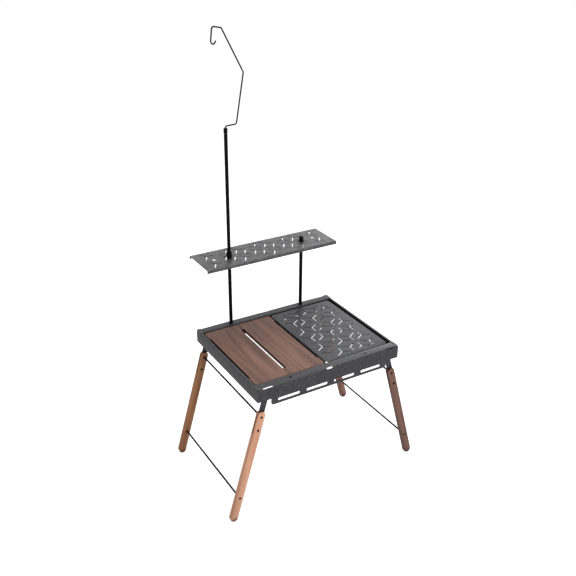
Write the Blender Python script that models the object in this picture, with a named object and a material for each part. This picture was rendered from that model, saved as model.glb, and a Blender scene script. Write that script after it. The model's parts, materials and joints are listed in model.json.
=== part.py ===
"""Camping table: a folded steel frame on four folding wooden legs, with a wood top and a
pierced steel top that drop in, a pierced shelf on two posts and a pole with a lamp hook.

X runs along the front from left to right, Y from front to back and Z up from the floor.
All sizes are in metres and all angles in degrees.
"""
import bpy
import bmesh
import numpy as np
from math import acos, atan2, cos, degrees, radians, sin, sqrt
from mathutils import Matrix, Vector
from mathutils.geometry import tessellate_polygon

# Clearances
TOUCH = 0.0003
PIN_PLAY = 0.0003

# Frame
TABLE_HEIGHT = 0.469
FRAME_DEPTH = 0.4267
SHEET = 0.002
BEND_RADIUS = 0.002
RAIL_DEPTH = 0.0445
FLANGE_WIDTH = 0.0313
FLANGE_END_INSET = 0.0125
LEDGE_WIDTH = 0.010
SKIRT_DEPTH = 0.0675
SKIRT_END_INSET = 0.0475
SKIRT_CORNER = 0.008
NOTCH_CORNER = 0.002
ROUND_SHORTFALL = 0.000008
SKIRT_SLOTS = 4
SKIRT_SLOT_LENGTH = 0.077
SKIRT_SLOT_HEIGHT = 0.0095
SKIRT_SLOT_PITCH = 0.102
SKIRT_SLOT_DROP = 0.054
SKIRT_SLOT_CORNER = 0.003
BEND_SLOTS = 3
BEND_SLOT_LENGTH = 0.033
BEND_SLOT_WIDTH = 0.005
BEND_SLOT_INSET = 0.0365
SIDE_RAIL_WIDTH = 0.0085
END_TAB_REACH = 0.046
END_TAB_DROP = 0.005
END_TAB_HEIGHT = 0.038
CORNER_RADIUS = 0.006
RIVET_INSET = 0.042
RIVET_DROP = 0.0225
RIVET_DIAMETER = 0.004
RIVET_HEAD = 0.007
RIVET_HEAD_HEIGHT = 0.0012
RIVET_TAIL = 0.006
RIVET_TAIL_HEIGHT = 0.001
HEAD_CROWN = 0.0006

# Drop-in tops
INSERT_SINK = 0.0027
INSERT_THICKNESS = 0.012
INSERT_EDGE_GAP = 0.002
WOOD_SIDE_GAP = 0.0035
INSERT_MIDDLE_GAP = 0.0035
STEEL_SIDE_GAP = 0.008
WOOD_TOP_WIDTH = 0.2495
WOOD_SLOT_WIDTH = 0.0115
WOOD_SLOT_LENGTH = 0.282
WOOD_RELIEF = 0.004
WOOD_RELIEF_LENGTH = 0.278
WOOD_CORNER = 0.004
WOOD_EDGE = 0.0008
BATTEN_WIDTH = 0.016
BATTEN_THICKNESS = 0.003
BATTEN_INSET = 0.022
BATTEN_END_INSET = 0.014
BATTEN_SCREW_DIAMETER = 0.003
BATTEN_SCREW_HEAD = 0.0055
BATTEN_SCREW_GRIP = 0.007
STEEL_TOP_WIDTH = 0.2435
STEEL_TOP_SHEET = 0.002
STEEL_TOP_BEND = 0.003
STEEL_TOP_RELIEF = 0.007

# Pierced pattern of the steel top and of the shelf
SLOT_WIDTH = 0.003
TOP_COLUMN_PITCH = 0.03875
TOP_STEM = 0.03375
TOP_RISE = 0.0229
TOP_STEM_CUT = 0.025
TOP_BRANCH_CUT = 0.029
SHELF_ROW_PITCH = 0.0335
SHELF_STEM = 0.0346
SHELF_RISE = 0.0205
SHELF_STEM_CUT = 0.0255
SHELF_BRANCH_CUT = 0.0275

# Legs
LEG_AXIS_INSET = 0.02637786186
LEG_SPLAY = 15.92
LEG_WIDTH = 0.025
LEG_THICKNESS = 0.017
LEG_TOP_DROP = 0.05270716357
LEG_EDGE = 0.002
LEG_PANEL_GAP = 0.00205
FOOT_WEAR = 0.0003
KERF_WIDTH = 0.0036
KERF_LENGTH = 0.078
BRACKET_THICKNESS = 0.003
BRACKET_WIDTH = 0.020
BRACKET_CORNER = 0.003
BRACKET_END_GAP = 0.0015
PIVOT_DROP = 0.0354
LEFT_PIVOT_INSET = 0.0125
RIGHT_PIVOT_INSET = 0.0314
RIGHT_HEAD_RADIUS = 0.011
HEEL_HEIGHT = 0.007
HEEL_FLARE = 0.017
HEAD_SHOULDER = 0.003
PIVOT_DIAMETER = 0.006
PIVOT_HEAD = 0.009
PIVOT_HEAD_HEIGHT = 0.0015
PIVOT_TAIL = 0.010
PIVOT_TAIL_HEIGHT = 0.0015
BOSS_DIAMETER = 0.010
STOP_PIN_DIAMETER = 0.006
STOP_PIN_DROP = 0.007
UPPER_ROD_INSET = 0.0186
LEG_SCREW_INSET = 0.0644
LOWER_ROD_INSET = 0.088
ROD_DIAMETER = 0.006
STUD_DIAMETER = 0.004
NUT_DIAMETER = 0.0075
NUT_HEIGHT = 0.0028
SCREW_CROWN = 0.0008
RECESS_DIAMETER = 0.0085
RECESS_DEPTH = 0.004

# Posts, shelf, pole and lamp hook
POST_SPACING = 0.2788
POST_INSET = 0.0147
POST_DIAMETER = 0.012
POST_STUD = 0.008
FLANGE_HOLE = 0.009
POST_NUT_WIDTH = 0.013
POST_NUT_HEIGHT = 0.0055
SHELF_RISE_ABOVE_TOP = 0.2443
SHELF_LENGTH = 0.493
SHELF_DEPTH = 0.139
SHELF_SETBACK = 0.0099
SHELF_SHEET = 0.002
SHELF_BEND = 0.003
SHELF_FLANGE = 0.0108
SHELF_END_HOLE = 0.012
SHELF_END_HOLE_SPACING = 0.381
KNOB_DIAMETER = 0.015
KNOB_HEIGHT = 0.0195
KNOB_CROWN = 0.005
STUD_GRIP = 0.009
COLLAR_DIAMETER = 0.0176
COLLAR_HEIGHT = 0.0176
COLLAR_NECK = 0.0034
COLLAR_EDGE = 0.002
POLE_DIAMETER = 0.0115
POLE_TOP = 0.677
CAP_DIAMETER = 0.0127
CAP_HEIGHT = 0.016
CAP_SPIGOT = 0.0085
CAP_CROWN = 0.002
HOOK_WIRE = 0.0045
HOOK_SOCKET = 0.035
HOOK_BEND = 0.007
HOOK_EYE_BEND = 0.006
HOOK_FOOT_RISE = 0.006
HOOK_ARM = ((0.0376, 0.0078), (0.0648, 0.1614), (-0.0048, 0.2934), (-0.0344, 0.2990))
HOOK_TIP = ((-0.0395, 0.2570), (-0.0320, 0.2440), (-0.0224, 0.2590))

# Facets of the round parts
ROUND = 16
SMALL_ROUND = 10
BEND_STEPS = 3

# Heights and distances that follow from the sizes above
BAY_WIDTH = WOOD_SIDE_GAP + WOOD_TOP_WIDTH + INSERT_MIDDLE_GAP + STEEL_TOP_WIDTH + STEEL_SIDE_GAP
FRAME_HALF_WIDTH = BAY_WIDTH / 2 + SIDE_RAIL_WIDTH
FRAME_HALF_DEPTH = FRAME_DEPTH / 2
PANEL_INNER = FRAME_HALF_DEPTH - SHEET
FLANGE_INNER = FRAME_HALF_DEPTH - FLANGE_WIDTH
FLANGE_HALF_LENGTH = FRAME_HALF_WIDTH - FLANGE_END_INSET
SKIRT_HALF_WIDTH = FRAME_HALF_WIDTH - SKIRT_END_INSET
BEND_SLOT_PITCH = 2 * (FRAME_HALF_WIDTH - BEND_SLOT_INSET) / (BEND_SLOTS - 1)
SIDE_RAIL_INNER = BAY_WIDTH / 2
SIDE_RAIL_END = PANEL_INNER - TOUCH
END_TAB_FACE = SIDE_RAIL_END - SHEET
INSERT_TOP = TABLE_HEIGHT - INSERT_SINK
INSERT_BOTTOM = INSERT_TOP - INSERT_THICKNESS
LEDGE_TOP = INSERT_BOTTOM - TOUCH
INSERT_HALF_DEPTH = FLANGE_INNER - INSERT_EDGE_GAP
WOOD_CENTRE = -SIDE_RAIL_INNER + WOOD_SIDE_GAP + WOOD_TOP_WIDTH / 2
STEEL_CENTRE = WOOD_CENTRE + WOOD_TOP_WIDTH / 2 + INSERT_MIDDLE_GAP + STEEL_TOP_WIDTH / 2
BOARD_WIDTH = (WOOD_TOP_WIDTH - TOUCH) / 2
LEG_PLANE = PANEL_INNER - LEG_PANEL_GAP - LEG_THICKNESS / 2
LEG_AXIS_X = SIDE_RAIL_INNER - LEG_AXIS_INSET
PIVOT_HEIGHT = TABLE_HEIGHT - PIVOT_DROP
LEFT_PIVOT_X = SIDE_RAIL_INNER - LEFT_PIVOT_INSET
RIGHT_PIVOT_X = SIDE_RAIL_INNER - RIGHT_PIVOT_INSET
FOOT_CENTRE = LEG_WIDTH / 2 - FOOT_WEAR
LEG_REACH = (PIVOT_HEIGHT - FOOT_CENTRE) / cos(radians(LEG_SPLAY))
LEG_LENGTH = LEG_REACH + LEG_WIDTH / 2 - LEG_TOP_DROP
PIN_HOLE = PIVOT_DIAMETER + 2 * PIN_PLAY
STUD_HOLE = STUD_DIAMETER + 2 * PIN_PLAY
POST_LINE = FRAME_HALF_DEPTH - POST_INSET
POST_HOLE = POST_STUD + 2 * PIN_PLAY
SHELF_TOP = TABLE_HEIGHT + SHELF_RISE_ABOVE_TOP
SHELF_CENTRE = POST_LINE + SHELF_SETBACK
POST_TOP = SHELF_TOP - SHELF_SHEET - TOUCH
COLLAR_TOP = SHELF_TOP + TOUCH + COLLAR_NECK + COLLAR_HEIGHT
POLE_END = TABLE_HEIGHT + POLE_TOP
WIRE_HOLE = HOOK_WIRE + 2 * PIN_PLAY
FRONT_REACH = FRAME_HALF_DEPTH + TOUCH + PIVOT_HEAD_HEIGHT
BACK_REACH = SHELF_CENTRE + SHELF_DEPTH / 2
CENTRE_SHIFT = (FRONT_REACH - BACK_REACH) / 2

SIDES = ((-1, "left"), (1, "right"))
ENDS = ((-1, "front"), (1, "back"))

# Turns that lay an outline drawn in XY into another plane
ALONG_X = Matrix(((0, 0, 1), (1, 0, 0), (0, 1, 0))).to_4x4()
ALONG_Y = Matrix(((1, 0, 0), (0, 0, -1), (0, 1, 0))).to_4x4()


# Materials

def linear(*levels):
    """Screen colour levels from 0 to 255 as linear light."""
    shares = np.array(levels) / 255
    low = shares / 12.92
    high = ((shares + 0.055) / 1.055) ** 2.4
    return tuple(float(v) for v in np.where(shares <= 0.04045, low, high))


POWDER_COAT = (linear(82, 82, 87), 0.55, 0.4)
SHELF_COAT = (linear(120, 118, 120), 0.5, 0.5)
BLACK_STEEL = (linear(26, 26, 28), 0.4, 0.5)
WALNUT = (linear(128, 94, 84), 0.6, 0.0)
BEECH = (linear(205, 155, 128), 0.6, 0.0)
ZINC = (linear(150, 150, 152), 0.35, 0.9)
BLACK_PLASTIC = (linear(18, 18, 19), 0.45, 0.0)


def finish(piece, look):
    """Give a piece its own material."""
    colour, roughness, metallic = look
    material = bpy.data.materials.new(piece.name + "_finish")
    material.use_nodes = True
    shader = material.node_tree.nodes["Principled BSDF"]
    shader.inputs["Base Color"].default_value = (*colour, 1.0)
    shader.inputs["Roughness"].default_value = roughness
    shader.inputs["Metallic"].default_value = metallic
    material.diffuse_color = (*colour, 1.0)
    piece.data.materials.append(material)


# Outlines

def arc(centre, radius, start, end, steps):
    """Points of a circle from one angle to another, both ends included."""
    angles = np.radians(np.linspace(start, end, steps + 1))
    return [(centre[0] + radius * cos(a), centre[1] + radius * sin(a)) for a in angles]


def circle(centre, diameter, steps):
    """Closed round outline."""
    return arc(centre, diameter / 2, 0, 360, steps)[:-1]


def rounded(points, radii, steps):
    """Closed outline whose corners are rounded, one radius for each corner, 0 for a sharp one."""
    outline = []
    for index, (corner, radius) in enumerate(zip(points, radii)):
        before = Vector(points[index - 1])
        after = Vector(points[(index + 1) % len(points)])
        outline += fillet(before, Vector(corner), after, radius, steps)
    return outline


def fillet(before, corner, after, radius, steps):
    """Points that round one corner of a path in a plane."""
    if radius == 0:
        return [tuple(corner)]
    towards_before = (before - corner).normalized()
    towards_after = (after - corner).normalized()
    half_angle = towards_before.angle(towards_after) / 2
    middle = corner + (towards_before + towards_after).normalized() * (radius / sin(half_angle))
    reach = radius / np.tan(half_angle)
    first = corner + towards_before * reach - middle
    last = corner + towards_after * reach - middle
    start = atan2(first.y, first.x)
    turn = atan2(first.x * last.y - first.y * last.x, first.dot(last))
    return [(middle.x + radius * cos(start + turn * k / steps),
             middle.y + radius * sin(start + turn * k / steps)) for k in range(steps + 1)]


def box_outline(x_low, x_high, y_low, y_high):
    """Rectangle."""
    return [(x_low, y_low), (x_high, y_low), (x_high, y_high), (x_low, y_high)]


def slot_outline(centre, length, width, steps=6):
    """Slot with round ends that runs along the first axis."""
    reach = (length - width) / 2
    right = arc((centre[0] + reach, centre[1]), width / 2, -90, 90, steps)
    left = arc((centre[0] - reach, centre[1]), width / 2, 90, 270, steps)
    return right + left


def bent_sheet(middle_line, sheet, bend):
    """Outline of a bent sheet, from the line through the middle of its thickness."""
    points = [Vector(p) for p in middle_line]
    path = [points[0]]
    for before, corner, after in zip(points, points[1:], points[2:]):
        path += [Vector(p) for p in fillet(before, corner, after, bend + sheet / 2, BEND_STEPS)]
    path.append(points[-1])
    left = []
    right = []
    for index, point in enumerate(path):
        before = (point - path[index - 1]).normalized() if index > 0 else Vector((0, 0))
        after = (path[index + 1] - point).normalized() if index + 1 < len(path) else Vector((0, 0))
        along = (before + after).normalized()
        across = Vector((-along.y, along.x)) * (sheet / 2)
        bisected = index in (0, len(path) - 1) or before.dot(after) > 0.9999
        spread = 1.0 if bisected else 1.0 / max(along.dot(before), 0.5)
        left.append(tuple(point + across * spread))
        right.append(tuple(point - across * spread))
    return left + right[::-1]


# Solids

def signed_area(outline):
    """Twice the area of an outline, positive when it runs anticlockwise."""
    return sum(a[0] * b[1] - b[0] * a[1] for a, b in zip(outline, outline[1:] + outline[:1]))


def prism(outline, low, high, holes=()):
    """Vertices and faces of an outline with holes, carried along Z."""
    loops = [list(outline) if signed_area(outline) > 0 else list(outline)[::-1]]
    loops += [list(hole) if signed_area(hole) < 0 else list(hole)[::-1] for hole in holes]
    flat = [point for loop in loops for point in loop]
    count = len(flat)
    verts = [(x, y, low) for x, y in flat] + [(x, y, high) for x, y in flat]
    faces = []
    if holes:
        caps = tessellate_polygon([[Vector((x, y, 0)) for x, y in loop] for loop in loops])
    else:
        caps = [tuple(range(count))]
    for cap in caps:
        faces.append(tuple(reversed(cap)))
        faces.append(tuple(i + count for i in cap))
    start = 0
    for loop in loops:
        size = len(loop)
        for k in range(size):
            a, b = start + k, start + (k + 1) % size
            faces.append((a, b, b + count, a + count))
        start += size
    return verts, faces


def turned(profile, sides):
    """Vertices and faces of a profile of (radius, height) turned about Z.

    A profile that starts and ends on the axis closes there, any other one closes on itself."""
    rings = []
    verts = []
    for radius, height in profile:
        if radius == 0:
            rings.append([len(verts)] * sides)
            verts.append((0.0, 0.0, height))
            continue
        rings.append(list(range(len(verts), len(verts) + sides)))
        verts += [(x, y, height) for x, y in circle((0, 0), 2 * radius, sides)]
    closed = profile[0][0] > 0
    pairs = list(zip(rings, rings[1:] + rings[:1])) if closed else list(zip(rings, rings[1:]))
    faces = []
    for lower, upper in pairs:
        for k in range(sides):
            n = (k + 1) % sides
            corners = [lower[k], lower[n], upper[n], upper[k]]
            faces.append(tuple(dict.fromkeys(corners)))
    return verts, faces


def joined(*solids):
    """Several separate solids as one list of vertices and faces."""
    verts = []
    faces = []
    for solid_verts, solid_faces in solids:
        start = len(verts)
        verts += solid_verts
        faces += [tuple(i + start for i in face) for face in solid_faces]
    return verts, faces


def moved(solid, place):
    """A solid placed by a matrix."""
    verts, faces = solid
    return [tuple(place @ Vector(v)) for v in verts], faces


def add_piece(name, solid, look, parent, place=Matrix()):
    """Object made of a closed solid, shaded smooth between its sharp edges."""
    verts, faces = solid
    mesh = bpy.data.meshes.new(name)
    mesh.from_pydata(verts, [], faces)
    work = bmesh.new()
    work.from_mesh(mesh)
    bmesh.ops.recalc_face_normals(work, faces=work.faces)
    work.to_mesh(mesh)
    work.free()
    mesh.shade_smooth()
    mesh.set_sharp_from_angle(angle=radians(35))
    piece = bpy.data.objects.new(name, mesh)
    bpy.context.scene.collection.objects.link(piece)
    piece.parent = parent
    piece.matrix_local = place
    if look:
        finish(piece, look)
    return piece


def add_empty(name, parent, place=Matrix()):
    """Empty that carries other pieces."""
    empty = bpy.data.objects.new(name, None)
    bpy.context.scene.collection.objects.link(empty)
    empty.parent = parent
    empty.matrix_local = place
    return empty


def combine(piece, solids, operation):
    """Cut solids from a piece, or weld them to it."""
    for number, solid in enumerate(solids):
        name = f"{piece.name}_{operation.lower()}_{number}"
        tool = add_piece(name, solid, None, piece)
        tool.hide_render = True
        tool.display_type = "WIRE"
        modifier = piece.modifiers.new(name, "BOOLEAN")
        modifier.operation = operation
        modifier.object = tool


def soften(piece, width, angle=60):
    """Small bevel on the sharp edges of a piece."""
    modifier = piece.modifiers.new("softened_edges", "BEVEL")
    modifier.width = width
    modifier.segments = 1
    modifier.limit_method = "ANGLE"
    modifier.angle_limit = radians(angle)


def facing(side, x, height, depth=0.0):
    """Place for a fastener whose own Z points outwards through the front or the back."""
    return Matrix.Translation((x, side * depth, height)) @ Matrix.Rotation(radians(-90 * side), 4, "X")


def cylinder(diameter, low, high, sides=SMALL_ROUND):
    """Plain round bar along Z."""
    radius = diameter / 2
    return turned([(0, low), (radius, low), (radius, high), (0, high)], sides)


def ring(outer, bore, low, high, sides=SMALL_ROUND):
    """Plain round ring along Z."""
    return turned([(bore / 2, low), (outer / 2, low), (outer / 2, high), (bore / 2, high)], sides)


# Frame

def rail(name, root, end):
    """Front rail, or the back rail, which is the same sheet turned half round."""
    half = FRAME_HALF_DEPTH
    skin = SHEET / 2
    middle_line = [
        (-half + skin, TABLE_HEIGHT - SKIRT_DEPTH),
        (-half + skin, TABLE_HEIGHT - skin),
        (-FLANGE_INNER - skin, TABLE_HEIGHT - skin),
        (-FLANGE_INNER - skin, LEDGE_TOP - skin),
        (-FLANGE_INNER + LEDGE_WIDTH, LEDGE_TOP - skin),
    ]
    outline = bent_sheet(middle_line, SHEET, BEND_RADIUS)
    body = moved(prism(outline, -FRAME_HALF_WIDTH, FRAME_HALF_WIDTH), ALONG_X)
    turn = Matrix.Rotation(radians(90 + 90 * end), 4, "Z")
    piece = add_piece(name, body, POWDER_COAT, root, turn)
    cuts = [*rail_trims(), joined(*rail_slots()), joined(*rail_holes(end))]
    combine(piece, cuts, "DIFFERENCE")
    return piece


def rail_trims():
    """Solids that shape the ends of a rail: the short panel beside the skirt, and the corners."""
    spare = SHEET
    low = TABLE_HEIGHT - SKIRT_DEPTH - spare
    beside_skirt = []
    beyond_flange = []
    inside = SKIRT_HALF_WIDTH - SKIRT_CORNER
    outer = FRAME_HALF_WIDTH + spare
    bottom = TABLE_HEIGHT - RAIL_DEPTH
    for side in (-1, 1):
        corner = [(inside, low), (inside, low + spare), (SKIRT_HALF_WIDTH, low + spare),
                  (SKIRT_HALF_WIDTH, bottom), (outer, bottom), (outer, low)]
        radii = [0, 0, SKIRT_CORNER - ROUND_SHORTFALL, NOTCH_CORNER, 0, 0]
        under = rounded([(side * x, z) for x, z in corner], radii, BEND_STEPS)
        beside_skirt.append(moved(prism(under, PANEL_INNER - spare, FRAME_HALF_DEPTH + spare), ALONG_Y))
        end_plan = box_outline(*sorted((side * FLANGE_HALF_LENGTH, side * outer)),
                               -PANEL_INNER, -FLANGE_INNER + LEDGE_WIDTH + spare)
        beyond_flange.append(prism(end_plan, bottom - spare, TABLE_HEIGHT + spare))
    return joined(*beside_skirt), joined(*beyond_flange)


def rail_slots():
    """Long slots low in the skirt, and slots through the bend along the top edge."""
    slots = []
    for number in range(SKIRT_SLOTS):
        x = (number - (SKIRT_SLOTS - 1) / 2) * SKIRT_SLOT_PITCH
        z = TABLE_HEIGHT - SKIRT_SLOT_DROP
        long_half, high_half = SKIRT_SLOT_LENGTH / 2, SKIRT_SLOT_HEIGHT / 2
        outline = rounded(box_outline(x - long_half, x + long_half, z - high_half, z + high_half),
                          [SKIRT_SLOT_CORNER] * 4, 2)
        slots.append(moved(prism(outline, PANEL_INNER - SHEET, FRAME_HALF_DEPTH + SHEET), ALONG_Y))
    bend = Matrix.Translation((0, -FRAME_HALF_DEPTH, TABLE_HEIGHT)) @ Matrix.Rotation(radians(45), 4, "X")
    for number in range(BEND_SLOTS):
        x = (number - (BEND_SLOTS - 1) / 2) * BEND_SLOT_PITCH
        outline = slot_outline((x, 0), BEND_SLOT_LENGTH, BEND_SLOT_WIDTH, 4)
        slots.append(moved(prism(outline, -3 * SHEET, SHEET), bend))
    return slots


def rail_holes(end):
    """Round holes for posts, pivot pins and rivets, and the lowered top edge at the corners."""
    holes = []
    for side in (-1, 1):
        post = circle((side * POST_SPACING / 2, -POST_LINE), FLANGE_HOLE, SMALL_ROUND)
        holes.append(prism(post, TABLE_HEIGHT - 2 * SHEET, TABLE_HEIGHT + SHEET))
        rivet = circle((side * (FRAME_HALF_WIDTH - RIVET_INSET), TABLE_HEIGHT - RIVET_DROP),
                       RIVET_DIAMETER + 2 * PIN_PLAY, SMALL_ROUND)
        pivot = circle((side * pivot_distance(-side * end), PIVOT_HEIGHT), PIN_HOLE, SMALL_ROUND)
        for outline in (rivet, pivot):
            hole = prism(outline, PANEL_INNER - SHEET, FRAME_HALF_DEPTH + SHEET)
            holes.append(moved(hole, ALONG_Y))
        step = box_outline(*sorted((side * FLANGE_HALF_LENGTH, side * (FRAME_HALF_WIDTH + SHEET))),
                           -FRAME_HALF_DEPTH - SHEET, -PANEL_INNER + SHEET)
        holes.append(prism(step, TABLE_HEIGHT - SHEET - TOUCH, TABLE_HEIGHT + SHEET))
    return holes


def pivot_distance(side):
    """Distance of one side's pivots from the middle of the table."""
    return LEFT_PIVOT_X if side < 0 else RIGHT_PIVOT_X


def side_rail(name, root, side):
    """Folded channel along one side, with corner tabs on top and riveted tabs at both ends."""
    skin = SHEET / 2
    bottom = TABLE_HEIGHT - RAIL_DEPTH
    outer = FRAME_HALF_WIDTH - skin
    inner = SIDE_RAIL_INNER + skin
    top = TABLE_HEIGHT - skin
    middle_line = [(outer, bottom), (outer, top), (inner, top), (inner, bottom)]
    channel = bent_sheet(middle_line, SHEET, BEND_RADIUS / 2)
    body = moved(prism(channel, -SIDE_RAIL_END, SIDE_RAIL_END), ALONG_Y)
    flip = Matrix.Rotation(radians(180), 4, "Z") if side < 0 else Matrix()
    piece = add_piece(name, body, POWDER_COAT, root, flip)
    welds = []
    for end in (-1, 1):
        front = end * FRAME_HALF_DEPTH
        back = end * FLANGE_INNER
        near = FLANGE_HALF_LENGTH + TOUCH
        corner = [(near, back), (near, front), (FRAME_HALF_WIDTH, front), (FRAME_HALF_WIDTH, back)]
        plan = rounded(corner, [0, 0, CORNER_RADIUS, 0], BEND_STEPS)
        welds.append(prism(plan, TABLE_HEIGHT - SHEET, TABLE_HEIGHT))
        welds.append(moved(end_tab(side), Matrix.Translation((0, end * (SIDE_RAIL_END - skin), 0))))
        if side > 0:
            welds.append(stop_pin(end))
    combine(piece, welds, "UNION")
    return piece


def end_tab(side):
    """Tab at the end of a side rail, seen from the front, with its rivet and pin holes."""
    top = TABLE_HEIGHT - END_TAB_DROP
    outline = rounded(box_outline(SIDE_RAIL_INNER - END_TAB_REACH, SIDE_RAIL_INNER + SHEET / 2,
                                  top - END_TAB_HEIGHT, top),
                      [BRACKET_CORNER, 0, 0, BRACKET_CORNER], BEND_STEPS)
    holes = [circle((FRAME_HALF_WIDTH - RIVET_INSET, TABLE_HEIGHT - RIVET_DROP),
                    RIVET_DIAMETER + 2 * PIN_PLAY, SMALL_ROUND),
             circle((pivot_distance(side), PIVOT_HEIGHT), PIN_HOLE, SMALL_ROUND)]
    return moved(prism(outline, -SHEET / 2, SHEET / 2, holes), ALONG_Y)


def stop_pin(end):
    """Pin welded to a right end tab, which the outer edge of the right bracket rests on."""
    x, z = stop_pin_centre()
    low = LEG_PLANE - BRACKET_THICKNESS / 2
    return moved(cylinder(STOP_PIN_DIAMETER, low, SIDE_RAIL_END - SHEET / 2), facing(end, x, z))


def corner_rivets(root):
    """Four rivets that hold the end tabs of the side rails to the panels."""
    head = FRAME_HALF_DEPTH + TOUCH
    tail = END_TAB_FACE - TOUCH
    shank = RIVET_DIAMETER / 2
    outer = RIVET_HEAD / 2
    crown = head + RIVET_HEAD_HEIGHT
    foot = RIVET_TAIL / 2
    profile = [(0, tail - RIVET_TAIL_HEIGHT), (foot, tail - RIVET_TAIL_HEIGHT), (foot, tail),
               (shank, tail), (shank, head), (outer, head), (outer, crown - HEAD_CROWN),
               (outer - 2 * HEAD_CROWN, crown), (0, crown)]
    for end, end_name in ENDS:
        for side, side_name in SIDES:
            place = facing(end, side * (FRAME_HALF_WIDTH - RIVET_INSET), TABLE_HEIGHT - RIVET_DROP)
            name = f"{side_name}_{end_name}_corner_rivet"
            add_piece(name, turned(profile, SMALL_ROUND), POWDER_COAT, root, place)


# Leg frames

def leg_offset(pivot_x):
    """Distance of a leg's axis outside its pivot, square to the leg."""
    return (LEG_AXIS_X - pivot_x) * cos(radians(LEG_SPLAY))


def stop_pin_centre():
    """Centre of the pin that the right bracket's outer edge rests on, in X and Z."""
    splay = radians(LEG_SPLAY)
    offset = leg_offset(RIGHT_PIVOT_X)
    across = offset + BRACKET_WIDTH / 2 + STOP_PIN_DIAMETER / 2 + TOUCH
    x = RIGHT_PIVOT_X + across * cos(splay) + STOP_PIN_DROP * sin(splay)
    z = PIVOT_HEIGHT + across * sin(splay) - STOP_PIN_DROP * cos(splay)
    return x, z


def leg_levels(pivot_x):
    """Places along a leg's axis, upwards from the point beside the pivot: foot centre and wood top."""
    splay = radians(LEG_SPLAY)
    level = PIVOT_HEIGHT + leg_offset(pivot_x) * sin(splay)
    foot = (FOOT_CENTRE - level) / cos(splay)
    top = foot - LEG_WIDTH / 2 + LEG_LENGTH
    return foot, top


def foot_arc(side, foot):
    """Round foot, cut flat where it stands on the floor."""
    radius = LEG_WIDTH / 2
    flat = degrees(acos((radius - FOOT_WEAR) / radius))
    down = -90 - side * LEG_SPLAY
    before = arc((0, foot), radius, -180, down - flat, 5)
    after = arc((0, foot), radius, down + flat, 0, 5)
    return before + after


def wooden_leg(name, axis, side, end, pivot_x):
    """Wooden leg with round ends, a kerf from its top and recessed holes."""
    foot, top = leg_levels(pivot_x)
    outline = foot_arc(side, foot) + arc((0, top - LEG_WIDTH / 2), LEG_WIDTH / 2, 0, 180, 10)
    body = moved(prism(outline, -LEG_THICKNESS / 2, LEG_THICKNESS / 2), ALONG_Y)
    look = BEECH if side < 0 and end < 0 else WALNUT
    piece = add_piece(name, body, look, axis, Matrix.Translation((0, end * LEG_PLANE, 0)))
    soften(piece, LEG_EDGE)
    slit = box_outline(-LEG_WIDTH, LEG_WIDTH, -KERF_WIDTH / 2, KERF_WIDTH / 2)
    kerf = prism(slit, top - KERF_LENGTH, top + LEG_WIDTH)
    face = LEG_THICKNESS / 2
    through = cylinder(STUD_HOLE, -LEG_THICKNESS, LEG_THICKNESS)
    outer_recess = cylinder(RECESS_DIAMETER, face - RECESS_DEPTH, face * 2)
    inner_recess = cylinder(RECESS_DIAMETER, -face * 2, RECESS_DEPTH - face)
    holes = []
    recesses = []
    for level, both_faces in leg_hole_levels(foot, top):
        place = facing(end, 0, level)
        holes.append(moved(through, place))
        recesses.append(moved(outer_recess, place))
        if both_faces:
            recesses.append(moved(inner_recess, place))
    combine(piece, [kerf, joined(*holes)], "DIFFERENCE")
    combine(piece, [joined(*recesses)], "DIFFERENCE")
    return piece


def leg_hole_levels(foot, top):
    """Levels of the holes in a leg, and whether each has a recess on its inner face too."""
    return [(top - UPPER_ROD_INSET, False), (top - LEG_SCREW_INSET, True),
            (foot - LEG_WIDTH / 2 + LOWER_ROD_INSET, False)]


def left_bracket_outline(offset, end_level):
    """Left bracket: a tongue with a round head outside it, whose heel rests on the side rail."""
    splay = radians(LEG_SPLAY)
    reach = SIDE_RAIL_INNER - LEFT_PIVOT_X - TOUCH
    half = BRACKET_WIDTH / 2
    pivot = -offset
    heel_top = (pivot + reach * cos(splay), -reach * sin(splay))
    heel_low = (heel_top[0] - HEEL_HEIGHT * sin(splay), heel_top[1] - HEEL_HEIGHT * cos(splay))
    head = arc((pivot, 0), reach, -LEG_SPLAY, 110, 10)
    edge = [head[-1], (-half, HEAD_SHOULDER), (-half, end_level)]
    shoulder = rounded(edge, [0, BRACKET_CORNER, 0], BEND_STEPS)
    tongue = [(-half + BRACKET_CORNER, end_level), (half - BRACKET_CORNER, end_level),
              (half, end_level + BRACKET_CORNER), (half, -HEEL_FLARE)]
    side = shoulder[1:-1] + [(-half, end_level + BRACKET_CORNER)]
    return tongue + [heel_low] + head + side


def right_bracket_outline(offset, end_level):
    """Right bracket: a tongue with a round head about the pivot, inside the tongue's middle."""
    half = BRACKET_WIDTH / 2
    pivot = -offset
    meets = degrees(acos((half - offset) / RIGHT_HEAD_RADIUS))
    head = arc((pivot, 0), RIGHT_HEAD_RADIUS, 60, 180 + meets, 10)
    tongue = [(-half, end_level + BRACKET_CORNER), (-half + BRACKET_CORNER, end_level),
              (half - BRACKET_CORNER, end_level), (half, end_level + BRACKET_CORNER), (half, HEAD_SHOULDER)]
    return tongue + head


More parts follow.
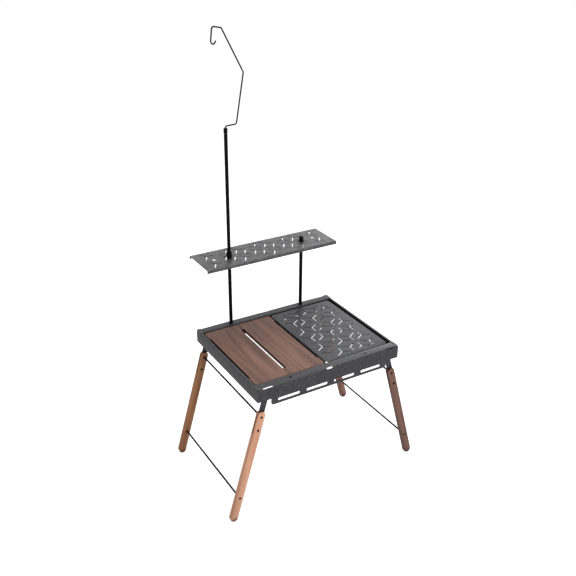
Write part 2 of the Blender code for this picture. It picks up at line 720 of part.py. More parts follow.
def bracket(name, axis, side, end, pivot_x):
    """Steel bracket that carries a leg: its tongue runs into the kerf, its boss up to the end tab."""
    foot, top = leg_levels(pivot_x)
    offset = leg_offset(pivot_x)
    end_level = top - KERF_LENGTH + BRACKET_END_GAP
    shape = left_bracket_outline if side < 0 else right_bracket_outline
    outline = [(side * x, z) for x, z in shape(offset, end_level)]
    holes = [circle((0, level), STUD_HOLE, SMALL_ROUND) for level, _ in leg_hole_levels(foot, top)[:2]]
    body = moved(prism(outline, -BRACKET_THICKNESS / 2, BRACKET_THICKNESS / 2, holes), ALONG_Y)
    piece = add_piece(name, body, POWDER_COAT, axis, Matrix.Translation((0, end * LEG_PLANE, 0)))
    place = facing(end, -side * offset, 0)
    boss = cylinder(BOSS_DIAMETER, 0, END_TAB_FACE - TOUCH - LEG_PLANE)
    bore = cylinder(PIN_HOLE, -BOSS_DIAMETER, BOSS_DIAMETER)
    combine(piece, [moved(boss, place)], "UNION")
    combine(piece, [moved(bore, place)], "DIFFERENCE")
    return piece


def cross_rod(name, axis, level):
    """Round rod between the front and the back leg, with thin studs through both."""
    shoulder = LEG_PLANE - LEG_THICKNESS / 2 - TOUCH
    tip = nut_seat() + NUT_HEIGHT
    rod = ROD_DIAMETER / 2
    stud = STUD_DIAMETER / 2
    profile = [(0, -tip), (stud, -tip), (stud, -shoulder), (rod, -shoulder),
               (rod, shoulder), (stud, shoulder), (stud, tip), (0, tip)]
    add_piece(name, moved(turned(profile, SMALL_ROUND), facing(1, 0, level)), BLACK_STEEL, axis)


def nut_seat():
    """Distance from the table's middle to the inner face of a nut in an outer recess."""
    return LEG_PLANE + LEG_THICKNESS / 2 - RECESS_DEPTH + TOUCH


def leg_fasteners(name, axis, end, levels):
    """Nuts of one leg on the rods' studs, and the screw with its nut through leg and tongue."""
    upper, middle, lower = levels
    seat = nut_seat()
    nut = ring(NUT_DIAMETER, STUD_HOLE, seat, seat + NUT_HEIGHT)
    add_piece(name + "_upper_rod_nut", nut, BLACK_STEEL, axis, facing(end, 0, upper))
    add_piece(name + "_lower_rod_nut", nut, BLACK_STEEL, axis, facing(end, 0, lower))
    inner = LEG_PLANE - LEG_THICKNESS / 2 + RECESS_DEPTH - TOUCH
    stud = STUD_DIAMETER / 2
    head = NUT_DIAMETER / 2
    top = seat + NUT_HEIGHT
    tip = inner - NUT_HEIGHT
    profile = [(0, tip), (stud, tip), (stud, seat), (head, seat),
               (head, top - SCREW_CROWN), (head - SCREW_CROWN, top), (0, top)]
    add_piece(name + "_screw", turned(profile, SMALL_ROUND), BLACK_STEEL, axis, facing(end, 0, middle))
    screw_nut = ring(NUT_DIAMETER, STUD_HOLE, tip, inner)
    add_piece(name + "_screw_nut", screw_nut, BLACK_STEEL, axis, facing(end, 0, middle))


def leg_frame(side_name, root, side, pivot_x):
    """One folding leg frame: two legs on brackets, held apart by two rods."""
    splay = radians(LEG_SPLAY)
    offset = leg_offset(pivot_x)
    hinge = add_empty(side_name + "_leg_hinge", root, Matrix.Translation((side * pivot_x, 0, PIVOT_HEIGHT)))
    place = Matrix.Translation((side * offset * cos(splay), 0, offset * sin(splay)))
    axis = add_empty(side_name + "_leg_axis", hinge, place @ Matrix.Rotation(-side * splay, 4, "Y"))
    foot, top = leg_levels(pivot_x)
    levels = [level for level, _ in leg_hole_levels(foot, top)]
    for end, end_name in ENDS:
        leg_name = f"{side_name}_{end_name}_leg"
        wooden_leg(leg_name, axis, side, end, pivot_x)
        bracket(f"{side_name}_{end_name}_bracket", axis, side, end, pivot_x)
        leg_fasteners(leg_name, axis, end, levels)
    cross_rod(side_name + "_upper_rod", axis, levels[0])
    cross_rod(side_name + "_lower_rod", axis, levels[2])


def pivot_pins(root):
    """Four pins, each through panel, end tab, boss and bracket, with a head on both ends."""
    head = FRAME_HALF_DEPTH + TOUCH
    tail = LEG_PLANE - BRACKET_THICKNESS / 2 - TOUCH
    shank = PIVOT_DIAMETER / 2
    outer = PIVOT_HEAD / 2
    crown = head + PIVOT_HEAD_HEIGHT
    foot = PIVOT_TAIL / 2
    profile = [(0, tail - PIVOT_TAIL_HEIGHT), (foot, tail - PIVOT_TAIL_HEIGHT), (foot, tail),
               (shank, tail), (shank, head), (outer, head), (outer, crown - HEAD_CROWN),
               (outer - 2 * HEAD_CROWN, crown), (0, crown)]
    for end, end_name in ENDS:
        for side, side_name in SIDES:
            place = facing(end, side * pivot_distance(side), PIVOT_HEIGHT)
            add_piece(f"{side_name}_{end_name}_pivot_pin", turned(profile, SMALL_ROUND), ZINC, root, place)


# Wood top

def board_outline():
    """Half of the wood top seen from above, its inner edge at x = 0 with half of the slot."""
    half_depth = INSERT_HALF_DEPTH
    slot = WOOD_SLOT_WIDTH / 2
    reach = WOOD_SLOT_LENGTH / 2 - slot
    relief = WOOD_RELIEF_LENGTH / 2
    outer = BOARD_WIDTH
    relieved = outer - WOOD_RELIEF
    notch = arc((0, reach), slot, 90, 0, 4) + arc((0, -reach), slot, 0, -90, 4)
    edge = [(0, -half_depth), (outer - WOOD_CORNER, -half_depth), (outer, -half_depth + WOOD_CORNER),
            (outer, -relief), (relieved, -relief + WOOD_RELIEF), (relieved, relief - WOOD_RELIEF),
            (outer, relief), (outer, half_depth - WOOD_CORNER), (outer - WOOD_CORNER, half_depth),
            (0, half_depth)]
    return edge + notch


def batten_line(end):
    """Y of a batten's middle."""
    return end * (INSERT_HALF_DEPTH - BATTEN_INSET)


def batten_screw_place(side, end):
    """Place of the screw that holds a board to a batten, from the middle of the wood top."""
    return Matrix.Translation((side * BOARD_WIDTH / 2, batten_line(end), 0))


def wood_top(root):
    """Two boards on two steel battens, which lift out of the frame as one."""
    lift = add_empty("wood_top_lift", root, Matrix.Translation((WOOD_CENTRE, 0, INSERT_BOTTOM)))
    reach = BATTEN_SCREW_GRIP
    bore = cylinder(BATTEN_SCREW_DIAMETER + 2 * PIN_PLAY, -reach, reach + TOUCH, 8)
    for side, side_name in SIDES:
        outline = [(side * (x + TOUCH / 2), y) for x, y in board_outline()]
        piece = add_piece("wood_board_" + side_name, prism(outline, 0, INSERT_THICKNESS), WALNUT, lift)
        soften(piece, WOOD_EDGE)
        bores = [moved(bore, batten_screw_place(side, end)) for end in (-1, 1)]
        combine(piece, [joined(*bores)], "DIFFERENCE")
    half_length = WOOD_TOP_WIDTH / 2 - BATTEN_END_INSET
    half_width = BATTEN_WIDTH / 2
    for end, end_name in ENDS:
        middle = batten_line(end)
        outline = rounded(box_outline(-half_length, half_length, middle - half_width, middle + half_width),
                          [BRACKET_CORNER] * 4, 2)
        plate = prism(outline, -TOUCH - BATTEN_THICKNESS, -TOUCH)
        piece = add_piece(end_name + "_batten", plate, ZINC, lift)
        seats = [moved(batten_screw(PIN_PLAY), batten_screw_place(side, end)) for side in (-1, 1)]
        combine(piece, [joined(*seats)], "DIFFERENCE")
        for side, side_name in SIDES:
            add_piece(f"{side_name}_{end_name}_batten_screw", batten_screw(0), ZINC, lift,
                      batten_screw_place(side, end))


def batten_screw(play):
    """Countersunk screw from below, or the hole for it when it has some play."""
    shank = BATTEN_SCREW_DIAMETER / 2 + play
    head = BATTEN_SCREW_HEAD / 2 + play
    face = -TOUCH - BATTEN_THICKNESS + PIN_PLAY - 2 * play
    cone = head - shank
    return turned([(0, face), (head, face), (head, face + 3 * play), (shank, face + 3 * play + cone),
                   (shank, BATTEN_SCREW_GRIP), (0, BATTEN_SCREW_GRIP)], 8)


# Pierced pattern

def forked_slot(centre, arms, width):
    """Slot with three round-ended arms, given as (direction in degrees, length)."""
    ordered = sorted((angle % 360, length) for angle, length in arms)
    half = width / 2
    outline = []
    for index, (angle, length) in enumerate(ordered):
        reach = length - half
        tip = (centre[0] + reach * cos(radians(angle)), centre[1] + reach * sin(radians(angle)))
        outline += arc(tip, half, angle - 90, angle + 90, 2)
        following = ordered[(index + 1) % len(ordered)][0]
        between = (following - angle) % 360 / 2
        crotch = half / sin(radians(between))
        middle = radians(angle + between)
        outline.append((centre[0] + crotch * cos(middle), centre[1] + crotch * sin(middle)))
    return outline


def blocks(pitch, stem, rise, columns, rows, parity, allowed):
    """Forks of a tumbling-block pattern: each is a centre and whether its stem points down."""
    forks = []
    for column in range(-columns, columns + 1):
        for row in range(-rows, rows + 1):
            if (column + row) % 2 != parity:
                continue
            centre_y = row * (stem + rise)
            for upright in (True, False):
                y = centre_y + stem if upright else centre_y - stem
                if allowed(column, y):
                    forks.append(((column * pitch, y), upright))
    return forks


def fork_arms(upright, pitch, rise, stem_cut, branch_cut):
    """Directions and lengths of one fork's arms."""
    lean = degrees(atan2(rise, pitch))
    if upright:
        return [(-90, stem_cut), (lean, branch_cut), (180 - lean, branch_cut)]
    return [(90, stem_cut), (-lean, branch_cut), (180 + lean, branch_cut)]


def steel_top(root):
    """Pierced steel plate with turned-down flanges and relieved corners."""
    lift = add_empty("steel_top_lift", root, Matrix.Translation((STEEL_CENTRE, 0, INSERT_BOTTOM)))
    half_x = STEEL_TOP_WIDTH / 2
    half_y = INSERT_HALF_DEPTH
    pan = turned_down_pan(half_x, half_y)
    piece = add_piece("steel_top", pan, POWDER_COAT, lift)
    wall = piece.modifiers.new("sheet", "SOLIDIFY")
    wall.thickness = STEEL_TOP_SHEET
    wall.offset = -1

    def fits(column, y):
        return abs(y) < half_y - TOP_STEM_CUT

    forks = blocks(TOP_COLUMN_PITCH, TOP_STEM, TOP_RISE, 2, 4, 1, fits)
    slots = []
    for centre, upright in forks:
        arms = fork_arms(upright, TOP_COLUMN_PITCH, TOP_RISE, TOP_STEM_CUT, TOP_BRANCH_CUT)
        slots.append(prism(forked_slot(centre, arms, SLOT_WIDTH), INSERT_THICKNESS - 2 * STEEL_TOP_SHEET,
                           INSERT_THICKNESS + STEEL_TOP_SHEET))
    combine(piece, [joined(*slots)], "DIFFERENCE")


def turned_down_pan(half_x, half_y):
    """Outer skin of the steel top: a flat top, and four flanges over rounded bends."""
    radius = STEEL_TOP_BEND
    relief = STEEL_TOP_RELIEF
    top = INSERT_THICKNESS
    flat_x, flat_y = half_x - radius, half_y - radius
    cut_x, cut_y = half_x - relief, half_y - relief
    verts = [(flat_x, -cut_y, top), (flat_x, cut_y, top), (cut_x, cut_y, top), (cut_x, flat_y, top),
             (-cut_x, flat_y, top), (-cut_x, cut_y, top), (-flat_x, cut_y, top), (-flat_x, -cut_y, top),
             (-cut_x, -cut_y, top), (-cut_x, -flat_y, top), (cut_x, -flat_y, top), (cut_x, -cut_y, top)]
    faces = [tuple(range(12))]
    profile = [(radius * sin(a), top - radius + radius * cos(a)) for a in np.radians([30, 60, 90])]
    profile.append((radius, 0.0))
    for first, second, out in ((0, 1, (1, 0)), (3, 4, (0, 1)), (6, 7, (-1, 0)), (9, 10, (0, -1))):
        previous = (first, second)
        for run, height in profile:
            start = len(verts)
            for index in (first, second):
                x, y, _ = verts[index]
                verts.append((x + out[0] * run, y + out[1] * run, height))
            faces.append((previous[0], start, start + 1, previous[1]))
            previous = (start, start + 1)
    return verts, faces


# Shelf, posts, pole and hook

def shelf(root):
    """Pierced shelf with turned-down front and back flanges."""
    half = SHELF_DEPTH / 2
    skin = SHELF_SHEET / 2
    bottom = -SHELF_FLANGE
    line = half - skin
    middle_line = [(-line, bottom), (-line, -skin), (line, -skin), (line, bottom)]
    outline = bent_sheet(middle_line, SHELF_SHEET, SHELF_BEND - SHELF_SHEET)
    body = moved(prism(outline, -SHELF_LENGTH / 2, SHELF_LENGTH / 2), ALONG_X)
    piece = add_piece("shelf", body, SHELF_COAT, root, Matrix.Translation((0, SHELF_CENTRE, SHELF_TOP)))
    low, high = -2 * SHELF_SHEET, SHELF_SHEET

    def fits(column, along):
        if column == 0:
            return abs(along) < SHELF_END_HOLE_SPACING / 2 - SHELF_RISE
        return abs(column) == 1 and abs(along) < SHELF_LENGTH / 2 - SHELF_RISE

    slots = []
    for (across, along), upright in blocks(SHELF_ROW_PITCH, SHELF_STEM, SHELF_RISE, 1, 4, 0, fits):
        arms = fork_arms(upright, SHELF_ROW_PITCH, SHELF_RISE, SHELF_STEM_CUT, SHELF_BRANCH_CUT)
        turned_arms = [(90 - angle, length) for angle, length in arms]
        slots.append(prism(forked_slot((along, across), turned_arms, SLOT_WIDTH), low, high))
    for side in (-1, 1):
        end_hole = circle((side * SHELF_END_HOLE_SPACING / 2, 0), SHELF_END_HOLE, ROUND)
        post_hole = circle((side * POST_SPACING / 2, -SHELF_SETBACK), POST_HOLE, SMALL_ROUND)
        slots.append(prism(end_hole, low, high))
        slots.append(prism(post_hole, low, high))
    combine(piece, [joined(*slots)], "DIFFERENCE")


def posts(root):
    """Two posts between the back rail and the shelf, and the nuts under the rail."""
    low = TABLE_HEIGHT + TOUCH
    nut_top = TABLE_HEIGHT - SHEET - TOUCH
    nut_low = nut_top - POST_NUT_HEIGHT
    stud_top = SHELF_TOP + STUD_GRIP
    body = POST_DIAMETER / 2
    stud = POST_STUD / 2
    profile = [(0, nut_low), (stud, nut_low), (stud, low), (body, low),
               (body, POST_TOP), (stud, POST_TOP), (stud, stud_top), (0, stud_top)]
    for side, side_name in SIDES:
        add_piece(side_name + "_post", turned(profile, ROUND), BLACK_STEEL, root,
                  Matrix.Translation((side * POST_SPACING / 2, POST_LINE, 0)))
    hexagon = circle((0, 0), POST_NUT_WIDTH / cos(radians(30)), 6)
    nut = prism(hexagon, nut_low, nut_top, [circle((0, 0), POST_HOLE, SMALL_ROUND)])
    for side, side_name in SIDES:
        add_piece(side_name + "_post_nut", nut, ZINC, root,
                  Matrix.Translation((side * POST_SPACING / 2, POST_LINE, 0)))


def shelf_knob(root):
    """Round black knob that screws on the right post's stud and holds the shelf down."""
    low = SHELF_TOP + TOUCH
    top = low + KNOB_HEIGHT
    radius = KNOB_DIAMETER / 2
    bore = POST_HOLE / 2
    crown = [(radius - KNOB_CROWN * (1 - cos(a)), top - KNOB_CROWN + KNOB_CROWN * sin(a))
             for a in np.radians([0, 30, 60, 85])]
    depth = SHELF_TOP + STUD_GRIP + TOUCH
    profile = [(0, depth), (bore, depth), (bore, low), (radius, low)] + crown + [(0, top)]
    add_piece("shelf_knob", turned(profile, ROUND), BLACK_PLASTIC, root,
              Matrix.Translation((POST_SPACING / 2, POST_LINE, 0)))


def pole(root):
    """Collar on the left post, the upper pole in it, and the cap on the pole."""
    place = Matrix.Translation((-POST_SPACING / 2, POST_LINE, 0))
    low = SHELF_TOP + TOUCH
    bore = POST_HOLE / 2
    radius = COLLAR_DIAMETER / 2
    shoulder = low + COLLAR_NECK
    floor_low = SHELF_TOP + STUD_GRIP + TOUCH
    floor_high = COLLAR_TOP - STUD_GRIP
    neck = POST_DIAMETER / 2
    edge = radius - COLLAR_EDGE
    profile = [(0, floor_low), (bore, floor_low), (bore, low), (neck, low), (neck, shoulder),
               (edge, shoulder), (radius, shoulder + COLLAR_EDGE), (radius, COLLAR_TOP - COLLAR_EDGE),
               (edge, COLLAR_TOP), (bore, COLLAR_TOP), (bore, floor_high), (0, floor_high)]
    add_piece("pole_collar", turned(profile, ROUND), BLACK_STEEL, root, place)
    pole_radius = POLE_DIAMETER / 2
    spigot = CAP_SPIGOT / 2
    stud = POST_STUD / 2
    wire = WIRE_HOLE / 2
    seat = POLE_END - CAP_HEIGHT - TOUCH
    neck_top = POLE_END - CAP_CROWN - TOUCH
    socket = POLE_END - HOOK_SOCKET - TOUCH
    start = COLLAR_TOP + TOUCH
    stud_low = COLLAR_TOP - STUD_GRIP + TOUCH
    profile = [(0, stud_low), (stud, stud_low), (stud, start), (pole_radius, start), (pole_radius, seat),
               (spigot, seat), (spigot, neck_top), (wire, neck_top), (wire, socket), (0, socket)]
    add_piece("upper_pole", turned(profile, ROUND), BLACK_STEEL, root, place)
    cap_radius = CAP_DIAMETER / 2
    inner = spigot + PIN_PLAY
    cap_low = seat + TOUCH
    profile = [(inner, cap_low), (cap_radius, cap_low), (cap_radius, POLE_END - CAP_CROWN),
               (cap_radius - CAP_CROWN, POLE_END), (wire, POLE_END), (wire, neck_top + TOUCH),
               (inner, neck_top + TOUCH)]
    add_piece("pole_cap", turned(profile, ROUND), BLACK_PLASTIC, root, place)


def hook_path():
    """Middle line of the hook's wire from its foot in the pole, in X and Z from the pole's top."""
    foot = (0.0, -HOOK_SOCKET)
    lift = (0.0, HOOK_FOOT_RISE)
    arm = [foot, lift, *HOOK_ARM]
    corners = arm + list(HOOK_TIP)
    radii = [HOOK_BEND] * len(arm) + [HOOK_EYE_BEND] * len(HOOK_TIP)
    radii[1] = HOOK_FOOT_RISE
    path = [corners[0]]
    for index in range(1, len(corners) - 1):
        before, corner, after = [Vector(corners[index + k]) for k in (-1, 0, 1)]
        path += fillet(before, corner, after, radii[index], 4)
    path.append(corners[-1])
    return path


def swept_wire(path, diameter, sides):
    """Round wire along a path in the XZ plane."""
    line = np.array(path)
    steps = np.gradient(line, axis=0)
    along = steps / np.linalg.norm(steps, axis=1)[:, None]
    verts = []
    faces = []
    for (x, z), (dx, dz) in zip(line, along):
        for k in range(sides):
            a = 2 * np.pi * k / sides
            out, aside = diameter / 2 * cos(a), diameter / 2 * sin(a)
            verts.append((float(x - dz * out), float(aside), float(z + dx * out)))
    for ring_number in range(len(line) - 1):
        for k in range(sides):
            a = ring_number * sides + k
            b = ring_number * sides + (k + 1) % sides
            faces.append((a, b, b + sides, a + sides))
    last = (len(line) - 1) * sides
    faces.append(tuple(range(sides)))
    faces.append(tuple(range(last, last + sides)))
    return verts, faces


def lamp_hook(root):
    """Bent wire hook that turns in the top of the pole."""
    swivel = add_empty("hook_swivel", root, Matrix.Translation((-POST_SPACING / 2, POST_LINE, POLE_END)))
    add_piece("lamp_hook", swept_wire(hook_path(), HOOK_WIRE, 8), BLACK_STEEL, swivel)


def clear_scene():
    """Remove every object of the open scene."""
    for item in list(bpy.data.objects):
        bpy.data.objects.remove(item, do_unlink=True)


def main():
    """Build the whole table."""
    clear_scene()
    root = add_empty("table_origin", None, Matrix.Translation((0, CENTRE_SHIFT, 0)))
    for end, end_name in ENDS:
        rail(end_name + "_rail", root, end)
    for side, side_name in SIDES:
        side_rail(side_name + "_side_rail", root, side)
        leg_frame(side_name, root, side, pivot_distance(side))
    corner_rivets(root)
    pivot_pins(root)
    wood_top(root)
    steel_top(root)
    shelf(root)
    posts(root)
    shelf_knob(root)
    pole(root)
    lamp_hook(root)
    bpy.context.view_layer.update()


main()
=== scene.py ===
"""Finished look of the camping table: fine surfaces, finishes, stage and camera.

Positions are in metres: X runs along the front from left to right, Y to the back, Z up.
"""
import json
from math import cos, pi, radians, sin

import bmesh
import bpy
import numpy as np
from mathutils import Matrix, Vector

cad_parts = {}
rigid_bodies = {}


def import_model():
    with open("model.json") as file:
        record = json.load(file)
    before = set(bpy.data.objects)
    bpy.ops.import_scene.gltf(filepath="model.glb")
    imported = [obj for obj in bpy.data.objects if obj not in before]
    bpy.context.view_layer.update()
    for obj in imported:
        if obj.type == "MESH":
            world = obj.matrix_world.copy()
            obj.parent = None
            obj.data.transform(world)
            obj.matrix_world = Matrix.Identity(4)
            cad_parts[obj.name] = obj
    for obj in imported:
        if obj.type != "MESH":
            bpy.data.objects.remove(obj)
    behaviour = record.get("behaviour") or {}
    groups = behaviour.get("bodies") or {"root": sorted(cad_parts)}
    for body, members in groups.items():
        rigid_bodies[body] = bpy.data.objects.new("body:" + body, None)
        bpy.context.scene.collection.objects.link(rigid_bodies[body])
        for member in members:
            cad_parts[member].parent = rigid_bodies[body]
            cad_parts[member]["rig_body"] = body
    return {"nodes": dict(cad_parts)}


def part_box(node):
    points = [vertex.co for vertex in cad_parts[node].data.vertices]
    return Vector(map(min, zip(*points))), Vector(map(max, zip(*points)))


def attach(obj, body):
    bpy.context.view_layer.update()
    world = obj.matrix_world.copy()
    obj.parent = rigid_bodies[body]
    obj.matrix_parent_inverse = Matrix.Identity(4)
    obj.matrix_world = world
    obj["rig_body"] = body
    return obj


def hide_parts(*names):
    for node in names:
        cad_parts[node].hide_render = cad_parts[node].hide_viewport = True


bl_info = {
    "name": "Camping table",
    "version": (1, 0, 0),
    "blender": (4, 5, 0),
    "location": "View3D > Sidebar > Camping table",
    "description": "Builds a camping table with drop-in tops, a shelf and a lamp hook",
    "category": "Add Mesh",
}

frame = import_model()
SIDES = ((-1, "left"), (1, "right"))
ENDS = ((-1, "front"), (1, "back"))

# Lengths that count as nothing
NO_LENGTH = 1e-9
SHORTEST_STEP = 1e-7

# Fine copies of sheets and boards: points merged, and angles in degrees
MERGE_DISTANCE = 2e-6
FLAT_WITHIN = 0.5
EDGE_OVER = 50
SHEET_SMOOTH = 40

# Round pieces: angle in degrees below which faces are shaded as one, and how finely they are divided
ROUND_SMOOTH = 32
ROD_SIDES = 32
RECESS_SIDES = 40
POLE_SIDES = 48
WIRE_SIDES = 24
WIRE_BEND_STEPS = 10
KNOB_BEND_STEPS = 8
RIM_BEND_STEPS = 6
CROWN_STEPS = 6
LEG_END_POINTS = 25
LEG_EDGE_STEPS = 6

# Turned pieces start this far from their axis, and a flat cap closes them
AXIS_GAP = 0.0005

# Domed heads: angle in degrees at which the crown starts, and the crown's share of the head's height
CROWN_START = 8
CROWN_SHARE = 0.8

# How far the innermost row of a leg's face is drawn in, as a share of half the leg's width
LEG_FACE_INSET = 0.6

# How far the cutters of a leg reach past its faces
KERF_CUTTER_REACH = 0.03
KERF_CUTTER_RISE = 0.02
FLOOR_CUTTER_REACH = 0.1
RECESS_CUTTER_END = 0.05

# Size of the growth bands along X, Y and Z, before they are turned along the grain
BOARD_BANDS = (0.03, 0.45, 0.03)
LEG_BANDS = (0.007, 0.009, 0.22)

# Corners of the hook's wire as (X, Z), from the pole's axis and a height just above its top
HOOK_CORNERS = ((0.0, -0.0347), (0.0, 0.006), (0.0376, 0.0078), (0.0648, 0.1614), (-0.0048, 0.2934),
                (-0.0344, 0.2990), (-0.0395, 0.2570), (-0.0320, 0.2440), (-0.0224, 0.2590))

# Ends of the wire: a step as a share of its diameter, the next step as a share of the first, and the
# shares of its radius at the last point and the one before
WIRE_END_SHARE = 0.35
WIRE_END_STEP = 0.6
WIRE_TIP = (0.45, 0.85)

# Stage: half the floor's side, and each lamp's name, place, aim, size and power in watts
FLOOR_REACH = 12
LAMPS = (("overhead_softbox", (0.5, 0.8, 3.1), (0, 0, 0.4), 2.6, 40),
         ("front_softbox", (0.4, -2.9, 1.3), (0, 0, 0.4), 2.0, 32),
         ("back_softbox", (2.6, 2.2, 1.25), (0, 0, 0.5), 1.6, 22))


def middle_of(node):
    """Middle of a node's box."""
    low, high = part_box(node)
    return (low + high) / 2


TABLE_MIDDLE_Y = (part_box("front_rail")[0].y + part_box("back_rail")[1].y) / 2


# Sizes and colours that a user would change

def length(name, description, default):
    """Length property in metres."""
    return bpy.props.FloatProperty(name=name, description=description, default=default, min=0.0,
                                   precision=4, unit="LENGTH")


def tone(name, description, levels):
    """Colour property, given as screen levels from 0 to 255."""
    shares = np.array(levels) / 255
    light = np.where(shares <= 0.04045, shares / 12.92, ((shares + 0.055) / 1.055) ** 2.4)
    return bpy.props.FloatVectorProperty(name=name, description=description, subtype="COLOR", size=3,
                                         min=0.0, max=1.0, default=[float(v) for v in light])


class TableColours(bpy.types.PropertyGroup):
    """Colours of the finishes."""
    powder_coat: tone("Powder coat", "Dark coat of frame, steel top and brackets", (58, 58, 61))
    shelf_coat: tone("Shelf coat", "Coat of the shelf", (84, 83, 85))
    lacquer: tone("Black lacquer", "Posts, pole, rods and hook", (13, 13, 15))
    plastic: tone("Black plastic", "Knob and pole cap", (12, 12, 13))
    zinc: tone("Zinc plate", "Pins and hidden hardware", (92, 92, 96))
    board_dark: tone("Board, dark bands", "Late wood of the boards", (94, 66, 58))
    board_light: tone("Board, light bands", "Early wood of the boards", (134, 97, 82))
    left_front_dark: tone("Front left leg, dark bands", "Late wood of the pale leg", (206, 148, 118))
    left_front_light: tone("Front left leg, light bands", "Early wood of the pale leg", (232, 178, 148))
    right_front_dark: tone("Front right leg, dark bands", "Late wood", (98, 68, 58))
    right_front_light: tone("Front right leg, light bands", "Early wood", (128, 92, 80))
    left_back_dark: tone("Back left leg, dark bands", "Late wood", (140, 92, 62))
    left_back_light: tone("Back left leg, light bands", "Early wood", (178, 126, 88))
    right_back_dark: tone("Back right leg, dark bands", "Late wood", (116, 80, 68))
    right_back_light: tone("Back right leg, light bands", "Early wood", (146, 106, 92))


class LegSizes(bpy.types.PropertyGroup):
    """Sizes of the wooden legs."""
    splay: bpy.props.FloatProperty(name="Splay", description="Lean of the legs", subtype="ANGLE",
                                   default=radians(15.92))
    foot_x: length("Foot distance", "Where a leg's axis meets the floor, from the middle", 0.3513)
    width: length("Width", "Leg width seen from the front", 0.025)
    thickness: length("Thickness", "Leg thickness from front to back", 0.017)
    full_length: length("Length", "Leg length with both round ends", 0.398)
    edge: length("Edge radius", "Rounding of the long edges", 0.0022)
    wear: length("Foot wear", "Depth of the flat worn on the foot", 0.0003)
    kerf_width: length("Kerf width", "Saw cut for the bracket", 0.0036)
    kerf_length: length("Kerf length", "Depth of the saw cut from the top", 0.078)
    recess: length("Recess diameter", "Counterbore for nuts and screw heads", 0.0085)
    recess_depth: length("Recess depth", "Depth of the counterbores", 0.004)


class EdgeSizes(bpy.types.PropertyGroup):
    """Broken edges of sheets and boards."""
    rail: length("Rail edges", "Width of the broken edges of the rails", 0.00035)
    bracket: length("Bracket edges", "Width of the broken edges of the brackets", 0.0003)
    plate: length("Plate edges", "Width of the broken edges of the pierced sheets", 0.0002)
    board: length("Board edges", "Width of the broken edges of the boards", 0.0005)


class HardwareSizes(bpy.types.PropertyGroup):
    """Sizes of rods, nuts, screws, rivets and pins."""
    rod: length("Rod diameter", "Diameter of the cross rods", 0.006)
    rod_stud: length("Rod stud diameter", "Diameter of a rod's thin ends", 0.004)
    rod_stud_length: length("Rod stud length", "Length of a rod's thin ends", 0.0168)
    nut: length("Nut diameter", "Diameter of the ring nuts and of the screw heads", 0.0075)
    nut_bore: length("Nut bore", "Bore of the ring nuts", 0.0046)
    nut_height: length("Nut height", "Height of the ring nuts and of the screw heads", 0.0028)
    nut_edge: length("Nut edge", "Broken edges of the ring nuts", 0.0004)
    screw: length("Screw diameter", "Diameter of the leg screws", 0.004)
    screw_length: length("Screw length", "Length of the leg screws with their heads", 0.0152)
    rivet: length("Rivet diameter", "Diameter of the corner rivets", 0.004)
    rivet_head: length("Rivet head", "Diameter of the rivets' heads", 0.007)
    rivet_crown: length("Rivet crown", "Height of the rivets' heads", 0.0012)
    rivet_grip: length("Rivet grip", "From the top of a rivet's head to its foot", 0.0061)
    rivet_foot: length("Rivet foot", "Diameter of the rivets' feet", 0.006)
    rivet_length: length("Rivet length", "Length of the rivets", 0.0071)
    pin: length("Pin diameter", "Diameter of the pivot pins", 0.006)
    pin_head: length("Pin head", "Diameter of the pins' heads", 0.009)
    pin_crown: length("Pin crown", "Height of the pins' heads", 0.0015)
    pin_grip: length("Pin grip", "From the top of a pin's head to its foot", 0.0161)
    pin_foot: length("Pin foot", "Diameter of the pins' feet", 0.01)
    pin_length: length("Pin length", "Length of the pins", 0.0176)


class PoleSizes(bpy.types.PropertyGroup):
    """Sizes of posts, pole, knob, collar, cap and hook."""
    post: length("Post diameter", "Diameter of the two posts", 0.012)
    stud: length("Stud diameter", "Diameter of the threaded ends", 0.008)
    pole: length("Pole diameter", "Diameter of the upper pole", 0.0115)
    knob: length("Knob diameter", "Diameter of the shelf knob", 0.015)
    collar: length("Collar diameter", "Diameter of the pole collar", 0.0176)
    neck: length("Collar neck", "Height of the collar's neck", 0.0034)
    cap: length("Cap diameter", "Diameter of the pole cap", 0.0127)
    wire: length("Hook wire", "Diameter of the hook's wire", 0.0045)
    bend: length("Hook bends", "Radius of the hook's bends", 0.007)
    eye_bend: length("Eye bends", "Radius of the bends at the hook's tip", 0.006)
    edge: length("Edges", "Broken edges of rods, posts and pole", 0.0006)
    rim: length("Rims", "Rounding of the rims of bores", 0.0003)
    skirt_rim: length("Skirt rims", "Rounding of the lower edges of collar and cap", 0.0004)
    shoulder: length("Shoulders", "Rounding of the shoulders of collar and cap", 0.002)
    play: length("Play", "Gap between a stud or the wire and its bore", 0.0003)
    post_foot: length("Post foot", "Length of a post's lower stud", 0.0081)
    post_head: length("Post head", "Length of a post's upper stud", 0.0113)
    pole_foot: length("Pole foot", "Length of the pole's lower stud", 0.009)
    pole_head: length("Pole head", "Length of the pole's upper end in the cap", 0.0163)
    bore_depth: length("Lower bores", "Depth of the bores of knob and collar from below", 0.0092)
    upper_bore: length("Upper bore", "Depth of the collar's bore from above", 0.009)
    crown: length("Knob crown", "Rounding of the knob's top", 0.005)
    cap_bore: length("Cap bore", "Bore of the pole cap", 0.0091)
    cap_wall: length("Cap wall", "Thickness of the cap's top", 0.002)
    foot_bend: length("Foot bend", "Radius of the hook's lowest bend", 0.006)
    rise: length("Hook rise", "Height above the pole from which the hook's corners count", 0.0023)


